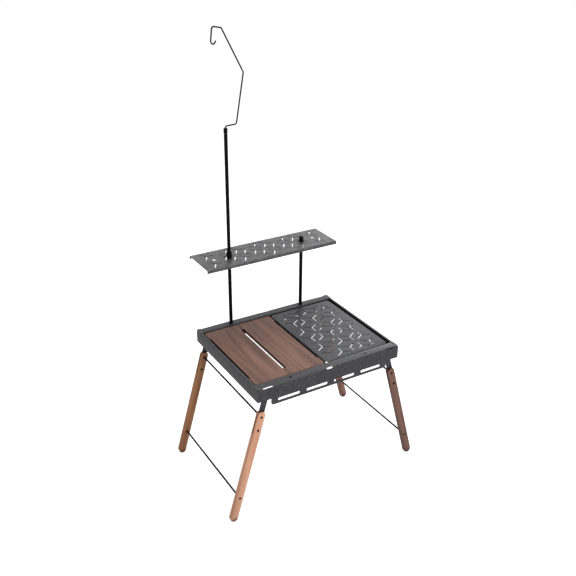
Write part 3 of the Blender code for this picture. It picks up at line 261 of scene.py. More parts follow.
class StudioSettings(bpy.types.PropertyGroup):
    """Camera and light."""
    eye: bpy.props.FloatVectorProperty(name="Camera place", subtype="TRANSLATION", size=3,
                                       description="From the middle of the table's plan",
                                       default=(-1.17494, -1.89958, 1.75847))
    turn: bpy.props.FloatProperty(name="Turn", description="Camera heading", subtype="ANGLE",
                                  default=radians(-31.039))
    tilt: bpy.props.FloatProperty(name="Tilt", description="Camera tilt below level", subtype="ANGLE",
                                  default=radians(26.356))
    roll: bpy.props.FloatProperty(name="Roll", description="Camera roll", subtype="ANGLE",
                                  default=radians(0.4496))
    lens: bpy.props.FloatProperty(name="Lens", description="Focal length in millimetres", default=48.39)
    glow: bpy.props.FloatProperty(name="Floor glow", default=0.6,
                                  description="Floor's own light, for the camera alone")
    fill: bpy.props.FloatProperty(name="Fill", default=0.55,
                                  description="Strength of the world's light on the object")


# Outlines and meshes

def fillets(points, radii, steps, closed=True):
    """Rounds the corners of a path.

    For a corner P with unit directions a and b to its neighbours and half angle h between them, the
    arc's middle is P + r (a + b) / (|a + b| sin h), and the arc runs between the points P + a r / tan h
    and P + b r / tan h. All corners are worked out together."""
    corners = np.asarray(points, float)
    radii = np.broadcast_to(np.asarray(radii, float), len(corners))
    before = np.roll(corners, 1, 0) - corners
    after = np.roll(corners, -1, 0) - corners
    a = before / np.linalg.norm(before, axis=1)[:, None]
    b = after / np.linalg.norm(after, axis=1)[:, None]
    half = np.arccos(np.clip((a * b).sum(1), -1, 1)) / 2
    towards = a + b
    towards /= np.maximum(np.linalg.norm(towards, axis=1), NO_LENGTH)[:, None]
    middle = corners + towards * (radii / np.sin(half))[:, None]
    first = corners + a * (radii / np.tan(half))[:, None] - middle
    last = corners + b * (radii / np.tan(half))[:, None] - middle
    start = np.arctan2(first[:, 1], first[:, 0])
    turn = np.arctan2(first[:, 0] * last[:, 1] - first[:, 1] * last[:, 0], (first * last).sum(1))
    share = np.linspace(0, 1, steps + 1)
    angle = start[:, None] + turn[:, None] * share
    arcs = middle[:, None, :] + radii[:, None, None] * np.stack([np.cos(angle), np.sin(angle)], 2)
    if not closed:
        arcs[0] = corners[0]
        arcs[-1] = corners[-1]
    path = arcs.reshape(-1, 2)
    step = np.linalg.norm(np.diff(path, axis=0, prepend=path[-1:] + 1), axis=1)
    return path[step > SHORTEST_STEP]


def grid_piece(name, grid, across_closed=True, along_closed=False, caps=True):
    """Object made of a grid of points, shape (rows, columns, 3).

    Point (i, j) joins (i + 1, j), (i + 1, j + 1) and (i, j + 1); columns close round, and the first and
    last rows are closed by flat caps unless the rows close round too."""
    rows, columns, _ = grid.shape
    index = np.arange(rows * columns).reshape(rows, columns)
    right = np.roll(index, -1, 1) if across_closed else index[:, 1:]
    left = index if across_closed else index[:, :-1]
    if along_closed:
        quads = np.stack([left, right, np.roll(right, -1, 0), np.roll(left, -1, 0)], 2)
    else:
        quads = np.stack([left[:-1], right[:-1], right[1:], left[1:]], 2)
    faces = quads.reshape(-1, 4).tolist()
    if caps and not along_closed:
        faces.append(index[0][::-1].tolist())
        faces.append(index[-1].tolist())
    mesh = bpy.data.meshes.new(name)
    mesh.from_pydata(grid.reshape(-1, 3).tolist(), [], faces)
    return linked(name, mesh, ROUND_SMOOTH)


def linked(name, mesh, smooth_below):
    """Object for a mesh, with outward faces and smooth shading below an angle in degrees."""
    work = bmesh.new()
    work.from_mesh(mesh)
    bmesh.ops.recalc_face_normals(work, faces=work.faces)
    work.to_mesh(mesh)
    work.free()
    mesh.shade_smooth()
    mesh.set_sharp_from_angle(angle=radians(smooth_below))
    piece = bpy.data.objects.new(name, mesh)
    bpy.context.scene.collection.objects.link(piece)
    return piece


def turned_grid(profile, sides, place):
    """Profile of (radius, height) turned about Z: point (r cos t, r sin t, h) for t round the circle,
    then moved by a matrix."""
    profile = np.asarray(profile, float)
    t = np.linspace(0, 2 * pi, sides, endpoint=False)
    r, h = profile[:, :1], profile[:, 1:]
    grid = np.stack([r * np.cos(t), r * np.sin(t), np.broadcast_to(h, (len(profile), sides))], 2)
    return moved(grid, place)


def moved(grid, place):
    """Grid points moved by a matrix."""
    place = np.array(place)
    return grid @ place[:3, :3].T + place[:3, 3]


def facing(end, middle, reach):
    """Place whose Z points out of the front (-1) or the back (1), at a given distance in Y."""
    turn = Matrix.Rotation(radians(-90 * end), 4, "X")
    return Matrix.Translation((middle.x, reach, middle.z)) @ turn


def finished(piece, finish):
    """Give an object one finish."""
    piece.data.materials.clear()
    piece.data.materials.append(finish)


def stand_for(piece, node, finish):
    """Let a fine piece stand for a node: same body, its own finish, and the node hidden."""
    finished(piece, finish)
    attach(piece, frame["nodes"][node]["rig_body"])
    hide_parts(node)
    return piece


def refined(node, name, edge, finish):
    """Fine copy of a node's sheet metal or board: points merged, flat faces joined, edges broken."""
    mesh = frame["nodes"][node].data.copy()
    work = bmesh.new()
    work.from_mesh(mesh)
    bmesh.ops.remove_doubles(work, verts=work.verts, dist=MERGE_DISTANCE)
    bmesh.ops.dissolve_limit(work, angle_limit=radians(FLAT_WITHIN), verts=work.verts, edges=work.edges)
    work.to_mesh(mesh)
    work.free()
    piece = linked(name, mesh, SHEET_SMOOTH)
    bevel = piece.modifiers.new("broken_edges", "BEVEL")
    bevel.width = edge
    bevel.segments = 2
    bevel.limit_method = "ANGLE"
    bevel.angle_limit = radians(EDGE_OVER)
    bevel.harden_normals = True
    bevel.use_clamp_overlap = True
    return stand_for(piece, node, finish)


def carve(piece, cutter):
    """Cut one hidden piece out of another and drop the cutter."""
    bpy.context.view_layer.update()
    modifier = piece.modifiers.new("carved", "BOOLEAN")
    modifier.operation = "DIFFERENCE"
    modifier.object = cutter
    graph = bpy.context.evaluated_depsgraph_get()
    carved = bpy.data.meshes.new_from_object(piece.evaluated_get(graph), depsgraph=graph)
    piece.modifiers.clear()
    piece.data = carved
    bpy.data.objects.remove(cutter)
    return piece


# Finishes

def new_finish(name, colour, roughness, metallic):
    """Material with its plain values on the shader's own sockets."""
    material = bpy.data.materials.new(name)
    material.use_nodes = True
    shader = material.node_tree.nodes["Principled BSDF"]
    shader.inputs["Base Color"].default_value = (*colour, 1)
    shader.inputs["Roughness"].default_value = roughness
    shader.inputs["Metallic"].default_value = metallic
    material.diffuse_color = (*colour, 1)
    return material, material.node_tree, shader


def node(tree, kind, **inputs):
    """Node with some of its inputs set by name."""
    made = tree.nodes.new(kind)
    for key, value in inputs.items():
        made.inputs[key.replace("_", " ")].default_value = value
    return made


def grain(tree, place, scale, detail, roughness=0.5):
    """Noise on a vector, as a factor."""
    noise = node(tree, "ShaderNodeTexNoise", Scale=scale, Detail=detail, Roughness=roughness)
    tree.links.new(place, noise.inputs["Vector"])
    return noise.outputs["Fac"]


def spread(tree, factor, low, high, from_low=0.3, from_high=0.7):
    """Factor stretched to a range of values."""
    stretch = node(tree, "ShaderNodeMapRange")
    stretch.inputs["From Min"].default_value = from_low
    stretch.inputs["From Max"].default_value = from_high
    stretch.inputs["To Min"].default_value = low
    stretch.inputs["To Max"].default_value = high
    tree.links.new(factor, stretch.inputs["Value"])
    return stretch.outputs["Result"]


def shaded(tree, colour, factor):
    """Colour times a factor."""
    scale = node(tree, "ShaderNodeVectorMath")
    scale.operation = "SCALE"
    if isinstance(colour, bpy.types.NodeSocket):
        tree.links.new(colour, scale.inputs[0])
    else:
        scale.inputs[0].default_value = colour
    tree.links.new(factor, scale.inputs["Scale"])
    return scale.outputs["Vector"]


def raised(tree, shader, height, strength, distance):
    """Bump from a height factor."""
    bump = node(tree, "ShaderNodeBump", Strength=strength, Distance=distance)
    tree.links.new(height, bump.inputs["Height"])
    tree.links.new(bump.outputs["Normal"], shader.inputs["Normal"])


def painted_gap_shade(tree, reach, darkest):
    """Painted shade: factor that falls from 1 on open faces to the given value in slots and narrow gaps."""
    gap_occlusion = node(tree, "ShaderNodeAmbientOcclusion", Distance=reach)
    gap_occlusion.samples = 8
    return spread(tree, gap_occlusion.outputs["AO"], low=darkest, high=1, from_low=0.55, from_high=0.93)


def shade_dulled_specular(tree, shader, factor, level=0.3):
    """Specular level that follows a painted shade factor, so that slots and gaps don't shine."""
    scale = node(tree, "ShaderNodeMath")
    scale.operation = "MULTIPLY"
    scale.inputs[1].default_value = level
    tree.links.new(factor, scale.inputs[0])
    tree.links.new(scale.outputs[0], shader.inputs["Specular IOR Level"])


def painted_edge_highlight(tree, width, gain):
    """Painted highlight: factor that rises from 1 on faces to the given gain within a width of their sharp
    edges, where the face's normal and the rounded normal part."""
    rounded = node(tree, "ShaderNodeBevel", Radius=width)
    rounded.samples = 4
    facet = tree.nodes.new("ShaderNodeNewGeometry")
    likeness = node(tree, "ShaderNodeVectorMath")
    likeness.operation = "DOT_PRODUCT"
    tree.links.new(rounded.outputs["Normal"], likeness.inputs[0])
    tree.links.new(facet.outputs["Normal"], likeness.inputs[1])
    return spread(tree, likeness.outputs["Value"], low=gain, high=1, from_low=0.8, from_high=0.995)


def sprayed_coat(name, colour, roughness, cloud=0.5):
    """Powder coat: a fine orange-peel surface, mottled in colour and in gloss, with painted shade in slots
    and gaps and a painted highlight along sharp edges.
    """
    material, tree, shader = new_finish(name, colour, roughness, metallic=0.0)
    place = node(tree, "ShaderNodeTexCoord").outputs["Object"]
    clouds = grain(tree, place, scale=30, detail=3)
    mottle = grain(tree, place, scale=190, detail=4, roughness=0.65)
    peel = grain(tree, place, scale=700, detail=2)
    gap_shade = painted_gap_shade(tree, reach=0.02, darkest=0.03)
    tint = spread(tree, clouds, low=0.9, high=1.1)
    mottle_tint = spread(tree, mottle, low=1 - cloud, high=1 + cloud, from_low=0.35, from_high=0.65)
    gloss = spread(tree, mottle, low=roughness + 0.1, high=roughness - 0.1)
    # Random tint and mottle, then painted shade in slots and gaps
    tinted = shaded(tree, shaded(tree, shaded(tree, colour, tint), mottle_tint), gap_shade)
    # Painted highlight along sharp edges
    tinted = shaded(tree, tinted, painted_edge_highlight(tree, width=0.0014, gain=1.8))
    tree.links.new(tinted, shader.inputs["Base Color"])
    tree.links.new(gloss, shader.inputs["Roughness"])
    # Painted shade also dulls the specular in slots and gaps
    shade_dulled_specular(tree, shader, gap_shade)
    raised(tree, shader, peel, strength=0.3, distance=0.0002)
    return material


def black_lacquer(name, colour):
    """Satin black lacquer with faint draw marks."""
    material, tree, shader = new_finish(name, colour, roughness=0.36, metallic=0.0)
    shader.inputs["Specular IOR Level"].default_value = 0.06
    place = node(tree, "ShaderNodeTexCoord").outputs["Object"]
    marks = grain(tree, place, scale=260, detail=3)
    clouds = grain(tree, place, scale=30, detail=3)
    tinted = shaded(tree, colour, spread(tree, clouds, low=0.85, high=1.2))
    tree.links.new(tinted, shader.inputs["Base Color"])
    tree.links.new(spread(tree, marks, low=0.42, high=0.54), shader.inputs["Roughness"])
    return material


def moulded_plastic(name, colour):
    """Matt moulded plastic with a fine spark texture."""
    material, tree, shader = new_finish(name, colour, roughness=0.55, metallic=0.0)
    shader.inputs["Specular IOR Level"].default_value = 0.1
    place = node(tree, "ShaderNodeTexCoord").outputs["Object"]
    spark = grain(tree, place, scale=1500, detail=2)
    tinted = shaded(tree, colour, spread(tree, spark, low=0.85, high=1.15))
    tree.links.new(tinted, shader.inputs["Base Color"])
    raised(tree, shader, spark, strength=0.25, distance=0.0002)
    return material


def zinc_plate(name, colour):
    """Dull zinc plate with pale flowers."""
    material, tree, shader = new_finish(name, colour, roughness=0.5, metallic=0.9)
    place = node(tree, "ShaderNodeTexCoord").outputs["Object"]
    flowers = grain(tree, place, scale=180, detail=3)
    tinted = shaded(tree, colour, spread(tree, flowers, low=0.8, high=1.15))
    tree.links.new(tinted, shader.inputs["Base Color"])
    tree.links.new(spread(tree, flowers, low=0.42, high=0.58), shader.inputs["Roughness"])
    return material


def oiled_wood(name, dark, light, turn, stretch, seed, roughness=0.55):
    """Oiled wood: growth bands and pores drawn out along the grain, with painted shade in slots and gaps.

    The object's own place is turned until one axis follows the grain, and divided by the stretch, which
    gives the bands' size along each axis. The seed moves the pattern."""
    material, tree, shader = new_finish(name, light, roughness, metallic=0.0)
    place = node(tree, "ShaderNodeTexCoord").outputs["Object"]
    lay = node(tree, "ShaderNodeMapping")
    lay.vector_type = "TEXTURE"
    lay.inputs["Location"].default_value = seed
    lay.inputs["Rotation"].default_value = turn
    lay.inputs["Scale"].default_value = stretch
    tree.links.new(place, lay.inputs["Vector"])
    along = lay.outputs["Vector"]
    bands = node(tree, "ShaderNodeTexNoise", Scale=1.0, Detail=3, Roughness=0.5, Distortion=1.1)
    tree.links.new(along, bands.inputs["Vector"])
    broad = grain(tree, along, scale=0.35, detail=2)
    pores = grain(tree, along, scale=9, detail=3, roughness=0.65)
    ramp = tree.nodes.new("ShaderNodeValToRGB")
    ramp.color_ramp.elements[0].position = 0.34
    ramp.color_ramp.elements[0].color = (*dark, 1)
    ramp.color_ramp.elements[1].position = 0.66
    ramp.color_ramp.elements[1].color = (*light, 1)
    tree.links.new(bands.outputs["Fac"], ramp.inputs["Fac"])
    gap_shade = painted_gap_shade(tree, reach=0.02, darkest=0.05)
    gloss = spread(tree, pores, low=roughness + 0.08, high=roughness - 0.08)
    tinted = shaded(tree, ramp.outputs["Color"], spread(tree, broad, low=0.82, high=1.16))
    # Pores darken the colour, and painted shade darkens it in slots and gaps
    tinted = shaded(tree, shaded(tree, tinted, spread(tree, pores, low=0.9, high=1.05)), gap_shade)
    tree.links.new(tinted, shader.inputs["Base Color"])
    tree.links.new(gloss, shader.inputs["Roughness"])
    # Painted shade also dulls the specular in slots and gaps
    shade_dulled_specular(tree, shader, gap_shade)
    raised(tree, shader, pores, strength=0.2, distance=0.0002)
    return material


def finish_named(name):
    """One of the shared finishes, made when first asked for."""
    if name in bpy.data.materials:
        return bpy.data.materials[name]
    colours = bpy.context.scene.table_colours
    if name == "dark_coat_finish":
        return sprayed_coat(name, tuple(colours.powder_coat), roughness=0.36)
    if name == "shelf_coat_finish":
        return sprayed_coat(name, tuple(colours.shelf_coat), roughness=0.34, cloud=0.55)
    if name == "black_lacquer_finish":
        return black_lacquer(name, tuple(colours.lacquer))
    if name == "black_plastic_finish":
        return moulded_plastic(name, tuple(colours.plastic))
    return zinc_plate(name, tuple(colours.zinc))


# Pieces

def leg_levels(sizes):
    """Middle of the round foot and top end of a leg, as distances along its axis from the floor."""
    radius = sizes.width / 2
    foot = (radius - sizes.wear) / cos(sizes.splay)
    top = foot - radius + sizes.full_length
    return foot, top


def leg_place(sizes, side, y):
    """Place of a leg: Z runs up its axis from the floor, Y stays along the table."""
    lean = Matrix.Rotation(-side * sizes.splay, 4, "Y")
    return Matrix.Translation((side * sizes.foot_x, y, 0)) @ lean


def leg_grid(sizes, foot, top, place):
    """Leg with round ends: a stadium outline, drawn in by an edge radius towards both faces.

    The outline is the half circle of the foot and that of the top, at radius w / 2 - d. Rows run over
    the thickness: the flat of the front face, a quarter circle with d = e (1 - sin s) and
    y = -t / 2 + e (1 - cos s), and the same mirrored to the back face."""
    half, thick, edge = sizes.width / 2, sizes.thickness / 2, sizes.edge
    s = np.radians(np.linspace(0, 90, LEG_EDGE_STEPS))
    drawn_in = np.concatenate([[half * LEG_FACE_INSET], edge * (1 - np.sin(s))])
    depth = np.concatenate([[-thick], -thick + edge * (1 - np.cos(s))])
    drawn_in = np.concatenate([drawn_in, drawn_in[::-1]])
    depth = np.concatenate([depth, -depth[::-1]])
    t = np.radians(np.linspace(180, 360, LEG_END_POINTS))
    x = np.concatenate([np.cos(t), -np.cos(t)])
    z = np.concatenate([np.sin(t), -np.sin(t)])
    level = np.repeat([foot, top - half], LEG_END_POINTS)
    radius = (half - drawn_in)[:, None]
    y = np.broadcast_to(depth[:, None], (len(depth), 2 * LEG_END_POINTS))
    return moved(np.stack([radius * x, y, level + radius * z], 2), place)


def box_grid(low, high, place):
    """Box between two corners, as two rows of four points."""
    (x0, y0, z0), (x1, y1, z1) = low, high
    ring = np.array([(x0, y0), (x1, y0), (x1, y1), (x0, y1)])
    grid = np.stack([np.column_stack([ring, np.full(4, z)]) for z in (z0, z1)])
    return moved(grid, place)


def wooden_leg(side, side_name, end, end_name, finish):
    """One leg with its saw cut and its counterbores."""
    sizes = bpy.context.scene.leg_sizes
    name = f"{side_name}_{end_name}_leg"
    middle = middle_of(name)
    place = leg_place(sizes, side, middle.y)
    foot, top = leg_levels(sizes)
    leg = grid_piece(name + "_wood", leg_grid(sizes, foot, top, place))
    half_kerf = sizes.kerf_width / 2
    kerf = box_grid((-KERF_CUTTER_REACH, -half_kerf, top - sizes.kerf_length),
                    (KERF_CUTTER_REACH, half_kerf, top + KERF_CUTTER_RISE), place)
    carve(leg, grid_piece("kerf_cutter", kerf))
    reach = FLOOR_CUTTER_REACH
    below = Matrix.Translation((side * sizes.foot_x, middle.y, 0))
    floor = box_grid((-reach, -reach, -reach), (reach, reach, 0), below)
    carve(leg, grid_piece("floor_cutter", floor))
    radius, start = sizes.recess / 2, sizes.thickness / 2 - sizes.recess_depth
    recess = [(radius, start), (radius, RECESS_CUTTER_END)]
    for part, ways in (("upper_rod_nut", (end,)), ("lower_rod_nut", (end,)), ("screw", (end, -end))):
        spot = middle_of(f"{name}_{part}")
        for way in ways:
            bore = turned_grid(recess, RECESS_SIDES, facing(way, spot, middle.y))
            carve(leg, grid_piece("recess_cutter", bore))
    leg.data.shade_smooth()
    leg.data.set_sharp_from_angle(angle=radians(ROUND_SMOOTH))
    return stand_for(leg, name, finish)


def cross_rod(node_name, finish):
    """Cross rod with thin stud ends, along Y."""
    sizes = bpy.context.scene.hardware_sizes
    edge = bpy.context.scene.pole_sizes.edge
    low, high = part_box(node_name)
    middle = middle_of(node_name)
    half = (high.y - low.y) / 2
    shoulder = half - sizes.rod_stud_length
    rod, thin = sizes.rod / 2, sizes.rod_stud / 2
    above = [(rod, shoulder - edge), (rod - edge, shoulder), (thin, shoulder), (thin, half - edge),
             (thin - edge / 2, half)]
    profile = [(radius, -height) for radius, height in reversed(above)] + above
    bar = grid_piece(node_name + "_bar", turned_grid(profile, ROD_SIDES, facing(1, middle, middle.y)))
    return stand_for(bar, node_name, finish)


def fastener(node_name, name, end, profile, finish, ring=False):
    """Turned fastener whose profile is given as (radius, distance in from its outer face)."""
    low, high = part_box(node_name)
    outer = high.y if end > 0 else low.y
    profile = [(radius, -inwards) for radius, inwards in profile]
    grid = turned_grid(profile, ROD_SIDES, facing(end, middle_of(node_name), outer))
    made = grid_piece(name, grid, along_closed=ring)
    return stand_for(made, node_name, finish)


def domed(radius, height, shank):
    """Domed head on a shank, from its crown down: r = R sin s, depth = c (1 - cos s) for a crown c high."""
    s = np.radians(np.linspace(CROWN_START, 90, CROWN_STEPS))
    crown = [(radius * sin(a), height * CROWN_SHARE * (1 - cos(a))) for a in s]
    return crown + [(radius, height), (shank, height)]


def headed(head, crown, shank, grip, foot, end):
    """Domed head, shank and wider foot, from the crown down."""
    return domed(head, crown, shank) + [(shank, grip), (foot, grip), (foot, end)]


def nut_profile(outer, bore, height, edge):
    """Ring nut with broken edges, as a closed profile."""
    return [(bore, edge), (bore + edge, 0), (outer - edge, 0), (outer, edge), (outer, height - edge),
            (outer - edge, height), (bore + edge, height), (bore, height - edge)]


def swept(path, radius, sides, place):
    """Round wire along a path in the XZ plane: P + r (cos t N + sin t Y), with N square to the path.

    The radius falls over the last two points of each end, which rounds them."""
    path = np.asarray(path, float)
    run = np.gradient(path, axis=0)
    run /= np.linalg.norm(run, axis=1)[:, None]
    t = np.linspace(0, 2 * pi, sides, endpoint=False)
    r = np.full(len(path), radius)
    for point, share in enumerate(WIRE_TIP):
        r[[point, -1 - point]] *= share
    out = r[:, None] * np.cos(t)
    x = path[:, :1] - run[:, 1:] * out
    z = path[:, 1:] + run[:, :1] * out
    return moved(np.stack([x, r[:, None] * np.sin(t), z], 2), place)


def near_start(path, step):
    """Two more points near the start of a path, one a step in and one a little further."""
    one = path[0] + (path[1] - path[0]) * step / np.linalg.norm(path[1] - path[0])
    return np.array([one, one + (one - path[0]) * WIRE_END_STEP])


# Operators

class TABLE_OT_steel_frame(bpy.types.Operator):
    """Rails and brackets of bent sheet steel."""
    bl_idname = "table.steel_frame"
    bl_label = "Steel frame"

    def execute(self, context):
        coat = finish_named("dark_coat_finish")
        edges = context.scene.edge_sizes
        for _, end_name in ENDS:
            refined(f"{end_name}_rail", f"{end_name}_rail_sheet", edges.rail, coat)
        for _, side_name in SIDES:
            refined(f"{side_name}_side_rail", f"{side_name}_side_channel", edges.rail, coat)
            for _, end_name in ENDS:
                corner = f"{side_name}_{end_name}"
                refined(corner + "_bracket", corner + "_leg_bracket", edges.bracket, coat)
        return {"FINISHED"}


class TABLE_OT_steel_top(bpy.types.Operator):
    """Pierced steel top."""
    bl_idname = "table.steel_top"
    bl_label = "Steel top"

    def execute(self, context):
        edge = context.scene.edge_sizes.plate
        refined("steel_top", "pierced_plate", edge, finish_named("dark_coat_finish"))
        return {"FINISHED"}


class TABLE_OT_wood_top(bpy.types.Operator):
    """Two boards, with the hardware below them."""
    bl_idname = "table.wood_top"
    bl_label = "Wood top"

    def execute(self, context):
        colours = context.scene.table_colours
        dark, light = tuple(colours.board_dark), tuple(colours.board_light)
        edge = context.scene.edge_sizes.board
        for side, side_name in SIDES:
            seed = (0.1 * side, 0.3, 0.07)
            wood = oiled_wood(f"{side_name}_board_wood", dark, light, (0, 0, 0), BOARD_BANDS, seed)
            refined(f"wood_board_{side_name}", f"{side_name}_board_plank", edge, wood)
        zinc = finish_named("zinc_finish")
        for name, item in frame["nodes"].items():
            if "batten" in name:
                finished(item, zinc)
        return {"FINISHED"}


class TABLE_OT_legs(bpy.types.Operator):
    """Four wooden legs."""
    bl_idname = "table.legs"
    bl_label = "Legs"

    def execute(self, context):
        colours = context.scene.table_colours
        splay = context.scene.leg_sizes.splay
        for side, side_name in SIDES:
            for end, end_name in ENDS:
                dark = getattr(colours, f"{side_name}_{end_name}_dark")
                light = getattr(colours, f"{side_name}_{end_name}_light")
                seed = (0.37 * side + 0.11 * end, 0.05 * end, 0.2 * side)
                wood = oiled_wood(f"{side_name}_{end_name}_leg_grain", tuple(dark), tuple(light),
                                  (0, -side * splay, 0), LEG_BANDS, seed)
                wooden_leg(side, side_name, end, end_name, wood)
        return {"FINISHED"}


class TABLE_OT_leg_hardware(bpy.types.Operator):
    """Rods, nuts and screws of the legs."""
    bl_idname = "table.leg_hardware"
    bl_label = "Leg hardware"

    def execute(self, context):
        black = finish_named("black_lacquer_finish")
        sizes = context.scene.hardware_sizes
        head, shank = sizes.nut / 2, sizes.screw / 2
        nut = nut_profile(head, sizes.nut_bore / 2, sizes.nut_height, sizes.nut_edge)
        screw = domed(head, sizes.nut_height, shank) + [(shank, sizes.screw_length)]
        for _, side_name in SIDES:
            for level in ("upper", "lower"):
                cross_rod(f"{side_name}_{level}_rod", black)
            for end, end_name in ENDS:
                leg = f"{side_name}_{end_name}_leg"
                for level in ("upper", "lower"):
                    name = f"{leg}_{level}"
                    fastener(name + "_rod_nut", name + "_ring_nut", end, nut, black, ring=True)
                fastener(f"{leg}_screw", f"{leg}_cap_screw", end, screw, black)
                fastener(f"{leg}_screw_nut", f"{leg}_inner_ring_nut", end, nut, black, ring=True)
        return {"FINISHED"}


class TABLE_OT_frame_hardware(bpy.types.Operator):
    """Rivets and pivot pins."""
    bl_idname = "table.frame_hardware"
    bl_label = "Frame hardware"

    def execute(self, context):
        coat = finish_named("dark_coat_finish")
        zinc = finish_named("zinc_finish")
        sizes = context.scene.hardware_sizes
        rivet = headed(sizes.rivet_head / 2, sizes.rivet_crown, sizes.rivet / 2, sizes.rivet_grip,
                       sizes.rivet_foot / 2, sizes.rivet_length)
        pin = headed(sizes.pin_head / 2, sizes.pin_crown, sizes.pin / 2, sizes.pin_grip,
                     sizes.pin_foot / 2, sizes.pin_length)
        for _, side_name in SIDES:
            for end, end_name in ENDS:
                corner = f"{side_name}_{end_name}"
                fastener(corner + "_corner_rivet", corner + "_domed_rivet", end, rivet, coat)
                fastener(corner + "_pivot_pin", corner + "_domed_pin", end, pin, zinc)
        return {"FINISHED"}


class TABLE_OT_shelf(bpy.types.Operator):
    """Pierced shelf."""
    bl_idname = "table.shelf"
    bl_label = "Shelf"

    def execute(self, context):
        edge = context.scene.edge_sizes.plate
        refined("shelf", "pierced_shelf", edge, finish_named("shelf_coat_finish"))
        return {"FINISHED"}


class TABLE_OT_posts(bpy.types.Operator):
    """Posts, knob, collar, pole and cap."""
    bl_idname = "table.posts"
    bl_label = "Posts and pole"

    def execute(self, context):
        sizes = context.scene.pole_sizes
        black = finish_named("black_lacquer_finish")
        plastic = finish_named("black_plastic_finish")
        stud_ends = sizes.post_foot, sizes.post_head
        for _, side_name in SIDES:
            self.bar(f"{side_name}_post", f"{side_name}_round_post", sizes.post / 2, stud_ends, black)
            finished(frame["nodes"][f"{side_name}_post_nut"], finish_named("zinc_finish"))
        pole_ends = sizes.pole_foot, sizes.pole_head
        self.bar("upper_pole", "upper_pole_tube", sizes.pole / 2, pole_ends, black)
        self.knob(sizes, plastic)
        self.collar(sizes, black)
        self.cap(sizes, plastic)
        return {"FINISHED"}

    def turned(self, node_name, name, profile, finish, ring=False):
        """Profile turned about a node's own upright axis, to stand for that node."""
        middle = middle_of(node_name)
        grid = turned_grid(profile, POLE_SIDES, Matrix.Translation((middle.x, middle.y, 0)))
        stand_for(grid_piece(name, grid, along_closed=ring), node_name, finish)

    def bar(self, node_name, name, radius, ends, finish):
        """Round bar between two thinner ends, given as their lengths below and above."""
        low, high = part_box(node_name)
        sizes = bpy.context.scene.pole_sizes
        stud, edge = sizes.stud / 2, sizes.edge
        foot, head = low.z + ends[0], high.z - ends[1]
        profile = [(stud - edge, low.z), (stud, low.z + edge), (stud, foot), (radius - edge, foot),
                   (radius, foot + edge), (radius, head - edge), (radius - edge, head),
                   (stud, head), (stud, high.z - edge), (stud - edge, high.z)]
        self.turned(node_name, name, profile, finish)

    def knob(self, sizes, finish):
        """Knob: a straight side under a rounded crown."""
        low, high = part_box("shelf_knob")
        radius, bore = sizes.knob / 2, sizes.stud / 2 + sizes.play
        outer = fillets([(AXIS_GAP, high.z), (radius, high.z), (radius, low.z), (bore, low.z)],
                        [0, sizes.crown, sizes.edge, 0], KNOB_BEND_STEPS, closed=False)
        inner = [(bore, low.z + sizes.bore_depth), (AXIS_GAP, low.z + sizes.bore_depth)]
        self.turned("shelf_knob", "knob_cap", np.vstack([outer, inner]), finish)

    def collar(self, sizes, finish):
        """Collar with a neck below, rounded shoulders and a bore from both ends."""
        low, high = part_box("pole_collar")
        bore, neck, radius = sizes.stud / 2 + sizes.play, sizes.post / 2, sizes.collar / 2
        shoulder = low.z + sizes.neck
        floor, roof = low.z + sizes.bore_depth, high.z - sizes.upper_bore
        corners = [(AXIS_GAP, floor), (bore, floor), (bore, low.z), (neck, low.z), (neck, shoulder),
                   (radius, shoulder), (radius, high.z), (bore, high.z), (bore, roof), (AXIS_GAP, roof)]
        radii = [0, 0, sizes.rim, sizes.skirt_rim, 0, sizes.shoulder, sizes.shoulder, sizes.rim, 0, 0]
        profile = fillets(corners, radii, RIM_BEND_STEPS, closed=False)
        self.turned("pole_collar", "round_collar", profile, finish)

    def cap(self, sizes, finish):
        """Cap over the pole's end, with the wire's hole in its top."""
        low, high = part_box("pole_cap")
        bore, radius, wire = sizes.cap_bore / 2, sizes.cap / 2, sizes.wire / 2 + sizes.play
        roof = high.z - sizes.cap_wall
        corners = [(bore, low.z), (radius, low.z), (radius, high.z), (wire, high.z), (wire, roof),
                   (bore, roof)]
        radii = [sizes.rim, sizes.skirt_rim, sizes.shoulder, sizes.rim, 0, 0]
        profile = fillets(corners, radii, RIM_BEND_STEPS)
        self.turned("pole_cap", "domed_cap", profile, finish, ring=True)


class TABLE_OT_lamp_hook(bpy.types.Operator):
    """Bent wire hook."""
    bl_idname = "table.lamp_hook"
    bl_label = "Lamp hook"

    def execute(self, context):
        sizes = context.scene.pole_sizes
        pole = middle_of("upper_pole")
        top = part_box("upper_pole")[1].z + sizes.rise
        radii = [0, sizes.foot_bend] + [sizes.bend] * 4 + [sizes.eye_bend] * 2 + [0]
        path = fillets(HOOK_CORNERS, radii, WIRE_BEND_STEPS, closed=False)
        step = WIRE_END_SHARE * sizes.wire
        path = np.vstack([path[:1], near_start(path, step), path[1:-1],
                          near_start(path[::-1], step)[::-1], path[-1:]])
        grid = swept(path, sizes.wire / 2, WIRE_SIDES, Matrix.Translation((pole.x, pole.y, top)))
        stand_for(grid_piece("bent_wire_hook", grid), "lamp_hook", finish_named("black_lacquer_finish"))
        return {"FINISHED"}


